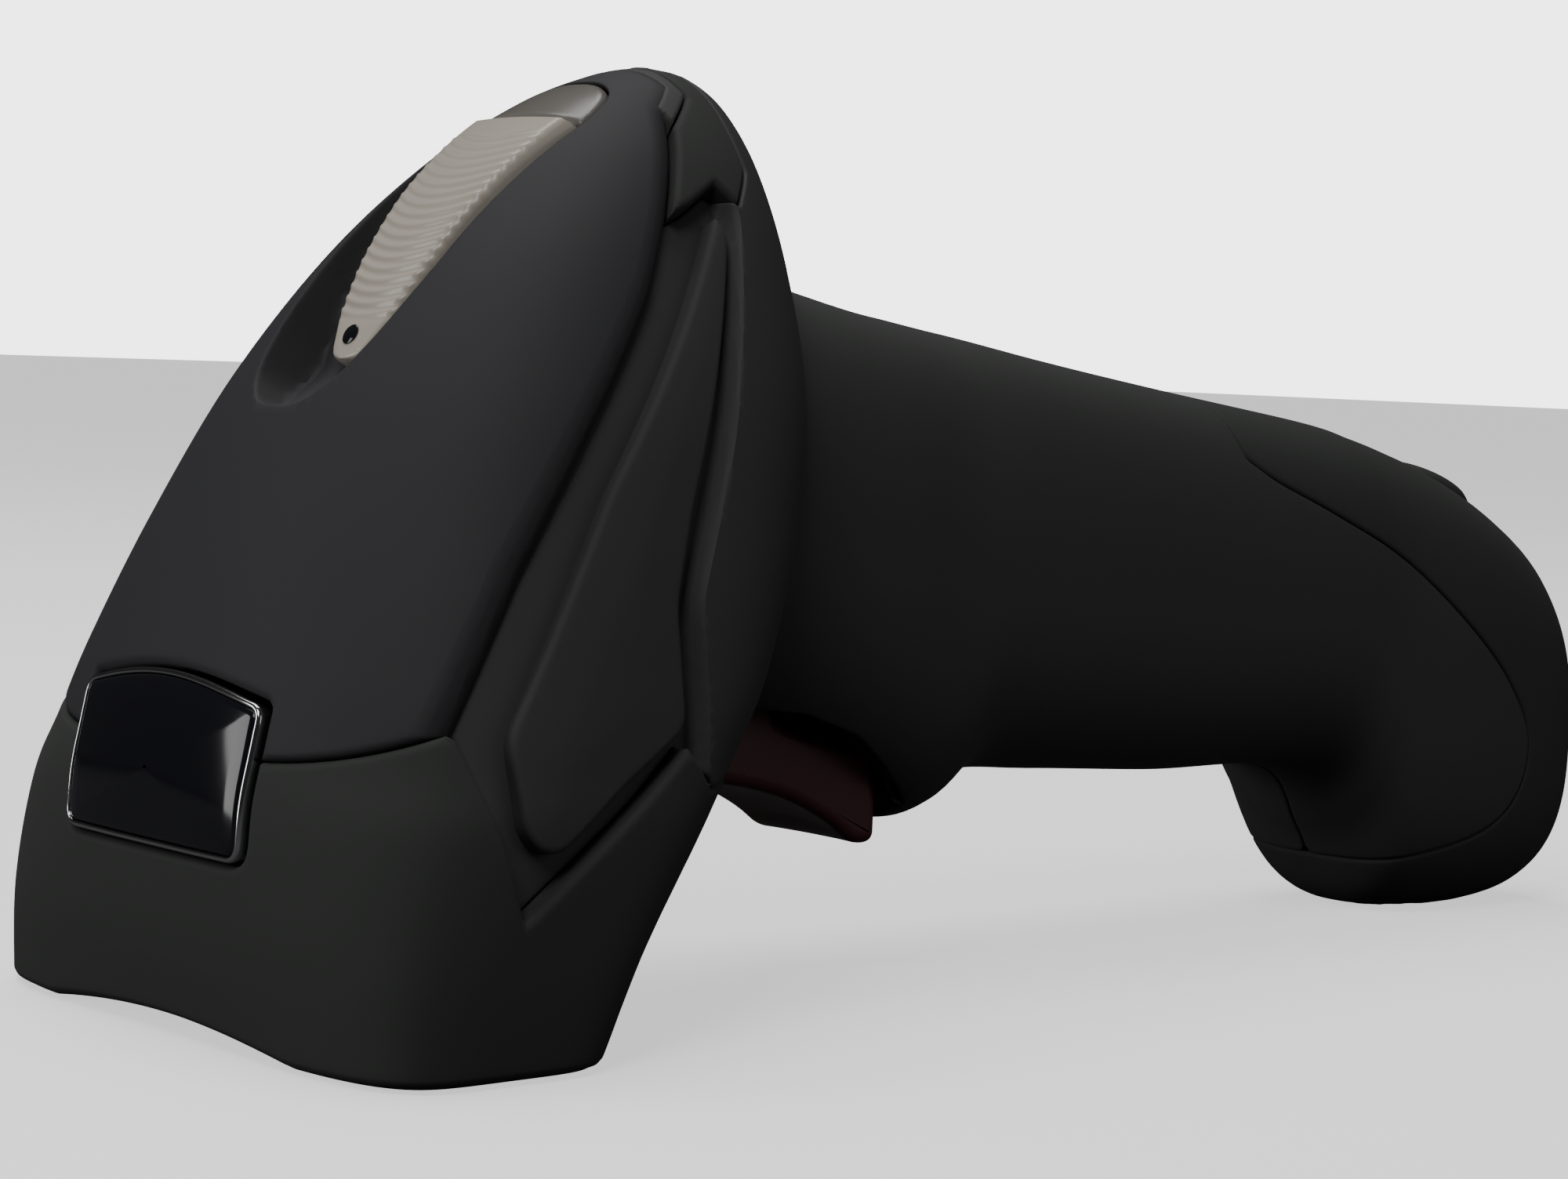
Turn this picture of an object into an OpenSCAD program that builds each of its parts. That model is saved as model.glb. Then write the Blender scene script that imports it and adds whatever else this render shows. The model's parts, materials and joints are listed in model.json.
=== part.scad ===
// Hand-held pistol-grip barcode scanner, standing on its nose and the heel of its grip.
// X runs from the nose to the grip, Y is across the scanner, and Z is up from the table.
// The origin is the middle of the scanner's length and width, on the table.

/* [Head] */
// Width across the widest part of the nose
head_w = 70; // [58:1:84]
// Height of the head, standing on its nose
head_h = 89; // [74:1:107]
// Depth of the head, from its crown to its back
head_d = 63; // [52:1:76]

/* [Grip] */
// Reach from the centre of the nose to the end of the heel
reach = 174.5; // [145:1:210]
// Width of the grip
grip_w = 31; // [26:0.5:38]

/* [Walls] */
// Thickness of the soft outer skin
skin = 2; // [1.5:0.1:2.4]
// Thickness of the hard case
wall = 1.9; // [1.6:0.1:2.4]
// Gap where two pieces of the case meet
seam = 0.15; // [0.1:0.05:0.3]
// Depth of the channel round each side plate
channel = 2.2; // [1.2:0.1:2.6]

/* [Window] */
// Thickness of the soft rim round the nose's mouth
rim_t = 1.6; // [1.2:0.1:2.4]
// Thickness of the window pane
pane_t = 1.5; // [1:0.1:2.5]
// Width of the ring that frames the window
frame_rim = 2.6; // [2:0.1:4]
// Depth of the window frame
frame_t = 4.5; // [3:0.1:6]
// Thickness of the gasket under the pane
gasket_t = 0.8; // [0.5:0.1:1.2]

/* [Light bar] */
// Width of the light bar at its back
bar_w = 15; // [12:0.5:18]
// Thickness of the light bar
bar_t = 2.6; // [2:0.1:3.5]

/* [Badge] */
// Width of the badge plate
badge_w = 28; // [22:0.5:32]
// Height of the badge plate at its sides
badge_h = 12.5; // [10:0.5:14]
// Thickness of the badge's rim across its face
badge_rim = 0.7; // [0.5:0.1:1.2]

/* [Trigger] */
// Width of the trigger
trigger_w = 16; // [13:0.5:18]
// Turn of the trigger from rest to its stop, in degrees
trigger_turn = 7; // [4:0.5:7]
// Radius of the trigger's pin
pin_r = 1.25; // [1:0.05:1.5]
// Running clearance round the pin and round the switch plunger
run_gap = 0.05; // [0.03:0.01:0.1]
// Side clearance between the trigger and what stands beside it
side_gap = 0.4; // [0.3:0.1:0.8]

/* [Battery] */
// Radius of the battery cell
cell_r = 9.2; // [7:0.1:9.2]
// Length of the battery cell
cell_l = 65; // [48:1:65]

/* [Lead socket] */
// Width of the socket's mouth
socket_w = 11.8; // [9:0.1:12]
// Height of the socket's mouth
socket_h = 7.2; // [6:0.1:7.6]
// Depth of the socket
socket_d = 11; // [9:0.5:12]

/* [Electronics] */
// Thickness of each circuit board
board_t = 1.6; // [0.8:0.1:2]
// Length of the main board
board_l = 34; // [28:1:36]
// Width of the main board
board_w = 29; // [24:1:30]
// Width of the scan engine
engine_w = 21; // [18:0.5:22]
// Depth of the scan engine along its line of sight
engine_l = 14; // [11:0.5:15]
// Height of the scan engine
engine_h = 11.5; // [9:0.5:12]

/* [Fasteners] */
// Radius of the case screws' thread
screw_r = 1.25; // [1:0.05:1.5]
// Length of the case screws under their heads
screw_l = 10; // [8:0.5:12]

/* [Hidden] */
$fn = 48;
big = 400;
fit = 0.1;              // clearance between a piece and the seat that it drops into
bond = 0.05;            // glue line under the soft skin
seat = 0.6;             // how far each side plate's seat lies under the channel's floor
shell = skin + wall;    // from the outer surface to the inner face of the case
lean = 28;              // how far the scanner's own level is turned when it stands on its nose
ring_n = 32;            // points round one section of the head or the grip
sx = head_d / 63;
sy = head_w / 70;
sz = head_h / 89;
sg = grip_w / 31;

// Sections of the head, drawn for a head 63 deep, 70 wide and 89 high:
// height, front, back, half width, squareness of the front, squareness of the back
head_rows = [
    [0, -14.5, 13, 34.5, 4.6, 5],
    [10, -15.8, 18.2, 35, 3.8, 4.8],
    [20, -16, 26, 34.8, 3.2, 4.2],
    [26, -15.4, 31.5, 33.8, 2.8, 3.7],
    [33, -14, 37.5, 32.4, 2.6, 3.3],
    [45, -9.9, 43.6, 29.8, 2.3, 2.9],
    [58, -3, 46.9, 26.2, 2.2, 2.7],
    [70, 6.2, 47, 21, 2.2, 2.5],
    [79, 15.5, 45.8, 15.6, 2.1, 2.3],
    [85, 24.5, 43.4, 10, 2.1, 2.2],
    [88, 31.5, 40.2, 5.2, 2.1, 2.1],
    [89, 35.5, 37, 0.8, 2, 2]];

// Sections of the grip, drawn for a reach of 174.5 and a grip 31 wide:
// distance along, back of the grip, front of the grip, half width, squareness
grip_rows = [
    [27, 66.6, 33, 16, 2.4],
    [34, 69.6, 29.5, 18, 2.4],
    [42, 70.6, 25, 18.8, 2.4],
    [51, 68.8, 21, 17.8, 2.5],
    [60, 66.9, 17.6, 17, 2.6],
    [66.5, 65.9, 14.8, 16.2, 2.6],
    [71, 65.2, 15.4, 15.8, 2.6],
    [77, 64.3, 19, 15.6, 2.6],
    [90, 62.2, 18.6, 15.4, 2.6],
    [108, 59.6, 17.6, 15, 2.6],
    [130, 56.6, 16.8, 15, 2.6],
    [137, 55.2, 9.5, 15, 2.6],
    [142.5, 53.8, 1.2, 15.2, 2.7],
    [150, 51.4, -0.6, 15.4, 2.8],
    [159, 47.4, -0.6, 15, 2.9],
    [167, 42.2, 0.6, 14, 2.9],
    [172, 35.5, 3.6, 12, 2.7],
    [174.5, 26.5, 9.5, 6.5, 2.2]];

// Side outlines of the case's pieces, as [distance, height] on the same drawing
bumper_edge = [[-16, 25.2], [-5, 29.4], [-0.4, 13.5], [18.2, 27.4], [21.5, 23.5]];
cover_edge = [[3.2, 42.5], [12.5, 55.3], [21.5, 67], [26.2, 74.6], [31, 83], [35, 86]];
tail_edge = [[28.4, 75.4], [32.6, 77.6], [34.8, 75.6], [38, 79]];
plate_outline = [[31.6, 75.2], [24.5, 65.4], [12.2, 49.4], [3.9, 36.1], [-0.8, 29], [-0.4, 21.3],
    [1.2, 19.2], [3.6, 19], [10.3, 24.1], [18.3, 29], [18.5, 39.8], [21.5, 48.1], [24.3, 54.3],
    [32.4, 72.7]];
plate_margin = [[34.8, 75.6], [26.9, 53.6], [21, 40], [20.8, 29.4]];
boot_edge = [[111, 80], [111.4, 56], [114, 51.3], [124.4, 46.9], [138, 41], [148.8, 33.5],
    [156.5, 26.7], [160.7, 20.2], [159.4, 13.7], [154, 9.4], [143.2, 6.8], [136, 5.5], [130, 5.5]];
pocket_edge = [[39, 28], [49, 27], [56, 24.6], [61, 21.2], [66.5, 16.8]];
bar_line = [[3.2, 60.3], [8.6, 69.8], [14.8, 77.4], [22, 83.2]];
cap_line = [[22, 83.2], [25.5, 85.2], [30, 87]];

function spow(v, e) = sign(v) * pow(abs(v), e);
function cubic(a, b, c, d, t) =
    (2 * b + (c - a) * t + (2 * a - 5 * b + 4 * c - d) * t * t
    + (3 * b - a - 3 * c + d) * t * t * t) / 2;
function row_at(rows, s) =
    let (i = min(floor(s), len(rows) - 2), b = rows[i], c = rows[i + 1])
    let (a = i > 0 ? rows[i - 1] : 2 * b - c)
    let (d = i + 2 < len(rows) ? rows[i + 2] : 2 * c - b)
    cubic(a, b, c, d, s - i);
function smooth_rows(rows, per) =
    [for (k = [0 : (len(rows) - 1) * per]) row_at(rows, k / per)];
head_soft = smooth_rows(head_rows, 2);
grip_soft = smooth_rows(grip_rows, 2);

// One level section of the head, with its walls moved in by depth
function head_ring(row, depth) =
    let (front = row[1] * sx + depth, back = max(row[2] * sx - depth, front + 0.6))
    let (half = max(row[3] * sy - depth, 0.3), high = row[0] * sz * (head_h - depth) / head_h)
    [for (j = [0 : ring_n - 1])
        let (a = 360 * j / ring_n, q = 2 / (cos(a) < 0 ? row[4] : row[5]))
        [(front + back) / 2 + (back - front) / 2 * spow(cos(a), q), half * spow(sin(a), q), high]];

// One upright section of the grip, with its walls moved in by depth
neck_x = grip_rows[0][0];
function grip_x(x) = x <= neck_x ? x * sx
    : neck_x * sx + (x - neck_x) * (reach - neck_x * sx) / (174.5 - neck_x);
function grip_ring(row, depth) =
    let (top = row[1] * sz - depth, low = min(row[2] * sz + depth, top - 0.6))
    let (half = max(row[3] * sg - depth, 0.3), mid = (top + low) / 2)
    [for (j = [0 : ring_n - 1])
        let (a = 360 * j / ring_n, q = 2 / row[4])
        [grip_x(row[0]), half * spow(cos(a), q), max(mid + (top - low) / 2 * spow(sin(a), q), depth)]];

front_x = min([for (r = head_soft) r[1]]) * sx;
badge_proud = 0.5;
centre_x = (front_x - badge_proud + reach) / 2;
module place() translate([-centre_x, 0, 0]) children();

module loft(rings) {
    n = len(rings[0]);
    m = len(rings);
    sides = [for (i = [0 : m - 2], j = [0 : n - 1])
        let (a = i * n + j, b = i * n + (j + 1) % n)
        each [[a, b + n, b], [a, a + n, b + n]]];
    caps = [[for (j = [0 : n - 1]) j], [for (j = [n - 1 : -1 : 0]) (m - 1) * n + j]];
    polyhedron([for (r = rings) each r], concat(sides, caps));
}
module head_solid(depth) {
    rings = [for (r = head_soft) head_ring(r, depth)];
    foot = [for (p = rings[0]) [p[0], p[1], -2]];
    loft(depth > 0 ? concat([foot], rings) : rings);
}
module grip_solid(depth) {
    loft([for (r = grip_soft) if (depth <= 0 || grip_x(r[0]) < reach - depth) grip_ring(r, depth)]);
}
module whole_solid(depth) {
    head_solid(depth);
    grip_solid(depth);
}

// Turns a drawn side outline into real distances and heights
function side(points) = [for (p = points) [grip_x(p[0]), p[1] * sz]];
module across(points, grow = 0, width = big) {
    rotate([90, 0, 0]) linear_extrude(width, center = true) offset(delta = grow) polygon(points);
}
module bumper_zone(grow) {
    edge = side(bumper_edge);
    across(concat([[-big, -big], [-big, edge[0][1]]], edge,
        [[edge[4][0] + 3, edge[4][1] + 1], [grip_x(36), edge[4][1] + 1], [grip_x(36), -big]]), grow);
}
module cover_zone(grow) {
    edge = side(cover_edge);
    low = side(bumper_edge);
    across(concat([[-big, low[0][1]], low[0], low[1]], edge, [[edge[5][0], big], [-big, big]]), grow);
}
module tail_zone(grow) {
    upper = side([cover_edge[5], cover_edge[4], cover_edge[3]]);
    tail = side(tail_edge);
    across(concat([[tail[3][0], big], [upper[0][0], big]], upper, tail), grow);
}
module plate_zone(grow) across(side(plate_outline), grow);
module channel_zone() {
    across(concat([side(bumper_edge)[1]], side([for (k = [0 : 3]) cover_edge[k]]),
        side([for (k = [0 : 2]) tail_edge[k]]), side([for (k = [1 : 3]) plate_margin[k]]),
        side([bumper_edge[3], bumper_edge[2]])), 0.01);
}
module boot_zone(grow) {
    edge = side(boot_edge);
    across(concat(edge, [[grip_x(130), -big], [big, -big], [big, big], [edge[0][0], big]]), grow);
}

// The scanner's own frame: X forward through the window, Z out of the top of the head
head_mid = [22 * sx, 0, 48.2 * sz];
module level() translate(head_mid) rotate([180, 90 + lean, 0]) children();
function level_x(p) = -sin(lean) * (p[0] - head_mid[0]) - cos(lean) * (p[1] - head_mid[2]);
function level_z(p) = -cos(lean) * (p[0] - head_mid[0]) + sin(lean) * (p[1] - head_mid[2]);
function level_line(points, drop) = [for (p = side(points)) [level_x(p), level_z(p) - drop]];

// Places shared by the trigger and what works with it
pivot = [grip_x(45.5), 0, 31 * sz];
boss_r = pin_r + 2.1;
switch_x = pivot[0] + 7;
spring_x = pivot[0] + 14.5;
nub_r = 1.5;
nub_z = pivot[2] - 0.3;
plunger_gap = 0.2;
plunger_r = 1.7;
plunger_l = 2.5;
plunger_low = nub_z + nub_r + plunger_gap;
switch_low = plunger_low + 1.1;
switch_h = 4;
switch_w = 6;
switch_board_t = 1;
plate_low = switch_low + switch_h + switch_board_t;
plate_t = 1.6;
ear_t = 1.5;
ear_in = trigger_w / 2 + side_gap;
ear_out = ear_in + ear_t;
slot_x = pivot[0] - boss_r - 1.2;
slot_end = grip_x(66.5);
spring_r = 2.5;
spring_wire = 0.5;
spring_low = 21.6 * sz;
spring_turns = 5;
wing = ear_out + 2.2;

window_top = rim_t + frame_t;
pane_low = window_top + gasket_t;
arch_h = 1.5;
arch_half = 20 * sy;
arch_r = (arch_half * arch_half + arch_h * arch_h) / (2 * arch_h);
function nose_outline(depth) = [for (p = head_ring(head_rows[0], shell + depth)) [p[0], p[1]]];

badge_mid = 23.6 * sz;
badge_outline = [[-badge_w / 2, -badge_h / 2], [badge_w / 2, -badge_h / 2],
    [badge_w / 2, badge_h / 2], [badge_w / 4, badge_h / 2 + 1.4], [0, badge_h / 2 + 1.9],
    [-badge_w / 4, badge_h / 2 + 1.4], [-badge_w / 2, badge_h / 2]];
module badge_prism(grow) {
    kx = 1 + 2 * grow / badge_w;
    kz = 1 + 2 * grow / badge_h;
    translate([front_x - 5, 0, badge_mid]) rotate([90, 0, 90]) linear_extrude(12)
        polygon([for (p = badge_outline) [p[0] * kx, p[1] * kz]]);
}

// Plan of the light bar and of its recess in the scanner's own frame, as [forward, half width]
recess_plan = [[5.8, 1.5], [5.3, 3.7], [2.4, 6.6], [-3, 8.2], [-10.4, 9], [-25.6, 8.6], [-32, 8.2],
    [-36, 6.4], [-37.8, 3]];
bar_plan = [[-1.6, 1.2], [-2.4, 2.8], [-6, 4.3], [-12, 5.6], [-20, 6.6], [-30.6, 7.2]];
cap_plan = [[-30.8, 7.2], [-34, 6.6], [-36.4, 4.6], [-37.2, 2]];
sb = bar_w / 15;
module plan_solid(plan, grow) {
    p = [for (r = plan) [r[0] * sz, r[1] * sb]];
    n = len(p);
    outline = concat(p, [for (k = [n - 1 : -1 : 0]) [p[k][0], -p[k][1]]]);
    level() translate([0, 0, -2]) linear_extrude(60) offset(delta = grow) polygon(outline);
}
bar_split = -30.8 * sz;
tub_t = 1.2;
// The space above a line that runs drop below the top of the light bar
module above_bar(drop) {
    line = concat(level_line(bar_line, drop), level_line([cap_line[1], cap_line[2]], drop));
    n = len(line);
    level() rotate([90, 0, 0]) linear_extrude(60, center = true) polygon(concat(
        [[30, line[0][1]]], line, [[-60, line[n - 1][1] - 8], [-60, 60], [30, 60]]));
}

screw_places = [[28, 34], [37, 60], [67, 57], [149.5, 12]];
module at_screws() {
    for (p = side(screw_places)) translate([p[0], 0, p[1]]) rotate([90, 0, 0]) children();
}
insert_r = screw_r + 0.75;
insert_l = 4;
boss_out = insert_r + 1.1;
head_r = screw_r + 1.1;
head_at = screw_l - insert_l;

cell_tilt = 7;
cell_mid = [grip_x(80) + cell_l / 2, 0, 36 * sz];
module at_cell() translate(cell_mid) rotate([0, 90 + cell_tilt, 0]) children();
cradle_r = cell_r + 1.4;

socket_x = reach - 0.6;
socket_z = 17.6 * sz;
socket_wall = 1.2;
module socket_box(grow, from, to) {
    translate([from, -socket_w / 2 - grow, socket_z - socket_h / 2 - grow])
        cube([to - from, socket_w + 2 * grow, socket_h + 2 * grow]);
}

heel_tilt = 28;
heel_mid = [grip_x(156), 0, 48.6 * sz];
heel_r = 6.6;
module at_heel() translate(heel_mid) rotate([0, heel_tilt, 0]) children();

module body_ribs() {
    for (x = [grip_x(93), grip_x(131)])
        translate([x - 0.8, -big / 2, 0]) cube([1.6, big, big]);
    for (s = [-1, 1])
        translate([switch_x - 5, s > 0 ? ear_out + 0.4 : -big - ear_out - 0.4, plate_low - 1.6])
            cube([11, big, plate_t + 3.2]);
}
module body_whole() {
    difference() {
        union() {
            difference() { whole_solid(0); whole_solid(shell); }
            intersection() {
                whole_solid(skin);
                union() {
                    at_screws() hull() {
                        cylinder(r = boss_out, h = 20, center = true);
                        cylinder(r = boss_out + 0.8, h = 120, center = true);
                    }
                    for (s = [-1, 1]) hull() {
                        translate([slot_end - 2, s * (ear_in + 1.2) - 0.8, 20 * sz]) cube([5, 1.6, 3]);
                        translate([slot_end + 4, s * (ear_in + 1.2) - 0.8, 24 * sz]) cube([5, 1.6, 3]);
                    }
                    for (s = [-1, 1]) hull() {
                        translate([slot_end + 26, s * 9 - 0.7, 20 * sz]) cube([40, 1.4, 4]);
                        translate([slot_end + 30, s * 9.6 - 0.7, 18 * sz]) cube([30, 1.4, 1]);
                    }
                    difference() { body_ribs(); at_cell() cylinder(r = cradle_r + fit, h = cell_l + 8, center = true); }
                    across([each side(pocket_edge), [slot_end, 19 * sz], [grip_x(56), 26.2 * sz],
                        [grip_x(49), 28.5 * sz], [grip_x(39), 29.5 * sz]]);
                }
            }
        }
        difference() {
            union() { bumper_zone(seam); boot_zone(seam); tail_zone(seam); }
            whole_solid(skin);
        }
        cover_zone(0);
        difference() { channel_zone(); whole_solid(channel); }
        difference() { plate_zone(0); whole_solid(channel + seat); }
        translate([-big / 2, -big / 2, rim_t - big]) cube(big);
        across(concat(side(pocket_edge), [[slot_end, -big], [grip_x(39), -big]]));
        translate([slot_x, -ear_in, 0]) cube([slot_end - slot_x, 2 * ear_in, plate_low]);
        translate([slot_x, -ear_out - 0.3, 28.2 * sz])
            cube([11, 2 * ear_out + 0.6, plate_low - 28.2 * sz]);
        translate([switch_x - 30, -wing - fit, plate_low - fit]) cube([60, 2 * wing + 2 * fit, plate_t + 2 * fit]);
        plan_solid(recess_plan, tub_t + 0.3);
        socket_box(socket_wall + fit, reach - socket_d - 3, big);
        at_heel() translate([0, 0, -8]) cylinder(r = 2.6, h = 20);
        at_heel() translate([0, 0, -skin]) cylinder(r = heel_r + fit, h = 20);
    }
}
module half_space(s) translate([-big / 2, s > 0 ? seam / 2 : -big - seam / 2, -big / 2]) cube(big);

module top_cover() color([0.11, 0.11, 0.115]) place() difference() {
    intersection() {
        union() {
            difference() { head_solid(0); head_solid(wall + 0.4); }
            intersection() { head_solid(0.3); plan_solid(recess_plan, tub_t); above_bar(bar_t + tub_t + 0.1); }
        }
        cover_zone(-seam);
    }
    difference() { badge_prism(badge_rim + fit); head_solid(1.6); }
    intersection() { plan_solid(recess_plan, 0); above_bar(bar_t + 0.1); }
    level() translate([-18 * sz, -2.2, -2]) cube([13 * sz, 4.4, 40]);
}

module body_left() color([0.2, 0.205, 0.2]) place() difference() {
    intersection() { body_whole(); half_space(-1); }
    at_screws() cylinder(r = insert_r + 0.02, h = 2 * (insert_l + 1), center = true);
}

module body_right() color([0.2, 0.205, 0.2]) place() difference() {
    intersection() { body_whole(); half_space(1); }
    at_screws() cylinder(r = screw_r + 0.2, h = 40, center = true);
    at_screws() translate([0, 0, -big - head_at]) cylinder(r = head_r + 0.2, h = big);
}

module nose_bumper() color([0.19, 0.195, 0.19]) place() difference() {
    union() {
        intersection() {
            difference() { head_solid(0); head_solid(skin - bond); }
            bumper_zone(0);
        }
        intersection() { head_solid(0); translate([-big / 2, -big / 2, -1]) cube([big, big, 1 + rim_t - bond]); }
    }
    translate([0, 0, -1]) linear_extrude(big) polygon(nose_outline(1.2));
    translate([-60, 0, arch_h - arch_r]) rotate([0, 90, 0]) cylinder(r = arch_r, h = 60, $fn = 180);
    difference() { badge_prism(badge_rim + fit); head_solid(1.6); }
    across(concat(side(plate_outline), [side(plate_outline)[0]]), seam);
}

module rear_bumper() color([0.19, 0.195, 0.19]) place() intersection() {
    difference() { head_solid(0); head_solid(skin - bond); grip_solid(0); }
    tail_zone(0);
}

module side_plate(s) place() intersection() {
    difference() { head_solid(0.02); head_solid(channel + seat - bond); }
    plate_zone(-seam);
    half_space(s);
}
module side_plate_left() color([0.19, 0.195, 0.19]) side_plate(-1);
module side_plate_right() color([0.19, 0.195, 0.19]) side_plate(1);

module grip_boot() color([0.19, 0.195, 0.19]) place() difference() {
    intersection() {
        difference() { grip_solid(0); grip_solid(skin - bond); }
        boot_zone(0);
    }
    socket_box(socket_wall + fit, reach - socket_d - 3, big);
    at_heel() translate([0, 0, -4]) cylinder(r = heel_r + fit, h = 20);
}

module light_bar() color([0.85, 0.8, 0.74]) place() level() intersection() {
    rotate([90, 0, 0]) linear_extrude(40, center = true) polygon(concat(level_line(bar_line, 0),
        [for (k = [3 : -1 : 0]) level_line(bar_line, bar_t)[k]]));
    linear_extrude(60) polygon(concat([for (r = bar_plan) [r[0] * sz, r[1] * sb]],
        [for (k = [len(bar_plan) - 1 : -1 : 0]) [bar_plan[k][0] * sz, -bar_plan[k][1] * sb]]));
}

module light_bar_cap() color([0.8, 0.8, 0.78]) place() level() intersection() {
    rotate([90, 0, 0]) linear_extrude(40, center = true) polygon(concat(level_line(cap_line, 0),
        [for (k = [2 : -1 : 0]) level_line(cap_line, bar_t)[k]]));
    linear_extrude(60) polygon(concat([for (r = cap_plan) [r[0] * sz, r[1] * sb]],
        [for (k = [len(cap_plan) - 1 : -1 : 0]) [cap_plan[k][0] * sz, -cap_plan[k][1] * sb]]));
}

module badge_frame() color([0.75, 0.75, 0.77]) place() difference() {
    intersection() { badge_prism(badge_rim); head_solid(-0.3); }
    badge_prism(0.03);
    head_solid(1.5);
}
module badge_plate() color([0.05, 0.05, 0.055]) place() difference() {
    intersection() { badge_prism(0); head_solid(-badge_proud); }
    head_solid(1.5);
}

module trigger() color([0.2, 0.08, 0.09]) place() difference() {
    union() {
        rotate([90, 0, 0]) linear_extrude(trigger_w, center = true) polygon([
            [pivot[0] - boss_r, pivot[2]], [pivot[0] - boss_r - 0.5, 20.2 * sz],
            [pivot[0] + 1.5, 19.3 * sz], [pivot[0] + 6.5, 17.9 * sz], [pivot[0] + 12, 15.2 * sz],
            [pivot[0] + 15.5, 13.1 * sz], [pivot[0] + 17.6, 13.1 * sz], [pivot[0] + 18.2, 14.8 * sz],
            [pivot[0] + 17.9, 18.2 * sz], [pivot[0] + 17.4, 22.6 * sz], [pivot[0] + 10.2, 23.6 * sz],
            [pivot[0] + 4, 25.5 * sz], [pivot[0] + boss_r, pivot[2]]]);
        translate(pivot) rotate([90, 0, 0]) cylinder(r = boss_r, h = trigger_w, center = true);
        translate([switch_x - nub_r, -2.5, 24 * sz]) cube([2 * nub_r, 5, nub_z - 24 * sz]);
        translate([switch_x, 0, nub_z]) rotate([90, 0, 0]) cylinder(r = nub_r, h = 5, center = true);
    }
    translate(pivot) rotate([90, 0, 0]) cylinder(r = pin_r + run_gap, h = 60, center = true);
    translate([spring_x, 0, spring_low]) cylinder(r = spring_r + 0.5, h = 10);
}

module window_ring(low, high, outer, inner) {
    translate([0, 0, low]) linear_extrude(high - low) difference() {
        polygon(nose_outline(outer));
        polygon(nose_outline(inner));
    }
}
module window_frame() color([0.05, 0.05, 0.05]) place()
    window_ring(rim_t, window_top, fit, fit + frame_rim);
module window_gasket() color([0.03, 0.03, 0.03]) place()
    window_ring(window_top, pane_low, fit + 0.4, fit + frame_rim - 0.4);
module scan_window() color([0.5, 0.12, 0.14]) place()
    translate([0, 0, pane_low]) linear_extrude(pane_t) polygon(nose_outline(fit + 0.4));

// Everything from here to the board screws is placed in the scanner's own frame
engine_x = 12;
engine_z = engine_h / 2;
deck_z = engine_z + 0.3;
deck_t = 1.8;
board_z = deck_z + deck_t + 2.2;
board_x = 13.5 - board_l;
post_x = [board_x + 6, 8.5];
post_y = board_w / 2 - 3;
lug = [[level_x(side(screw_places)[0]), level_z(side(screw_places)[0])],
    [level_x(side(screw_places)[1]), level_z(side(screw_places)[1])]];
lug_in = boss_out + 0.9;
lug_out = lug_in + 1.8;

module lug_rib(at, from, to) {
    rotate([90, 0, 0]) linear_extrude(3, center = true) polygon([[from, deck_z + 0.5], [to, deck_z + 0.5],
        [max(at[0] + 2, from + 3), at[1]], [at[0] - 2, at[1]]]);
    translate([at[0], 0, at[1]]) rotate([90, 0, 0]) cylinder(r = lug_out, h = 6, center = true);
}
module chassis() color([0.16, 0.16, 0.17]) place() level() difference() {
    union() {
        translate([board_x + 3.5, -post_y - 1, deck_z]) cube([26 - board_x - 3.5, 2 * post_y + 2, deck_t]);
        for (x = post_x, s = [-1, 1]) translate([x, s * post_y, deck_z]) cylinder(r = 2.1, h = board_z - deck_z);
        for (s = [-1, 1]) translate([engine_x, s * (engine_w / 2 + fit + 0.8) - 0.8, -engine_z])
            cube([engine_l, 1.6, engine_h + 0.8]);
        lug_rib(lug[0], 2.5, 8.5);
        lug_rib(lug[1], board_x + 4, board_x + 10);
    }
    for (x = post_x, s = [-1, 1]) translate([x, s * post_y, deck_z - 1]) cylinder(r = 0.95, h = 20);
    for (a = lug) translate([a[0], 0, a[1]]) rotate([90, 0, 0]) cylinder(r = lug_in, h = 20, center = true);
    translate([engine_x - 2.8, -5, deck_z - 1]) cube([1.9, 10, 10]);
}
module engine_housing() color([0.1, 0.1, 0.1]) place() level() difference() {
    translate([engine_x, -engine_w / 2, -engine_z]) cube([engine_l, engine_w, engine_h]);
    translate([engine_x + 3, 0, 0]) rotate([0, 90, 0]) cylinder(r = 3.3, h = 40);
    translate([engine_x + 6, 6, 0]) rotate([0, 90, 0]) cylinder(r = 1.7, h = 40);
    for (z = [-2.4, 2.4]) translate([engine_x + engine_l - 1.2, -7.9, z - 1.3]) cube([9, 2.6, 2.6]);
}
module engine_lens() color([0.2, 0.25, 0.35]) place() level()
    translate([engine_x + 3, 0, 0]) rotate([0, 90, 0]) rotate_extrude() polygon([[0, 0], [3.25, 0],
        [3.25, engine_l - 4], [2.6, engine_l - 3.4], [1.4, engine_l - 2.9], [0, engine_l - 2.7]]);
module aiming_lens() color([0.3, 0.2, 0.2]) place() level()
    translate([engine_x + 6, 6, 0]) rotate([0, 90, 0]) cylinder(r = 1.65, h = engine_l - 6.4);
module illumination_leds() color([0.9, 0.85, 0.6]) place() level()
    for (z = [-2.4, 2.4]) translate([engine_x + engine_l - 1.2, -7.85, z - 1.25]) cube([1, 2.5, 2.5]);
module engine_board() color([0.05, 0.3, 0.12]) place() level()
    translate([engine_x - 0.05 - 0.9, -9.5, -engine_z + 0.2]) cube([0.9, 19, engine_h - 0.6]);
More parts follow.
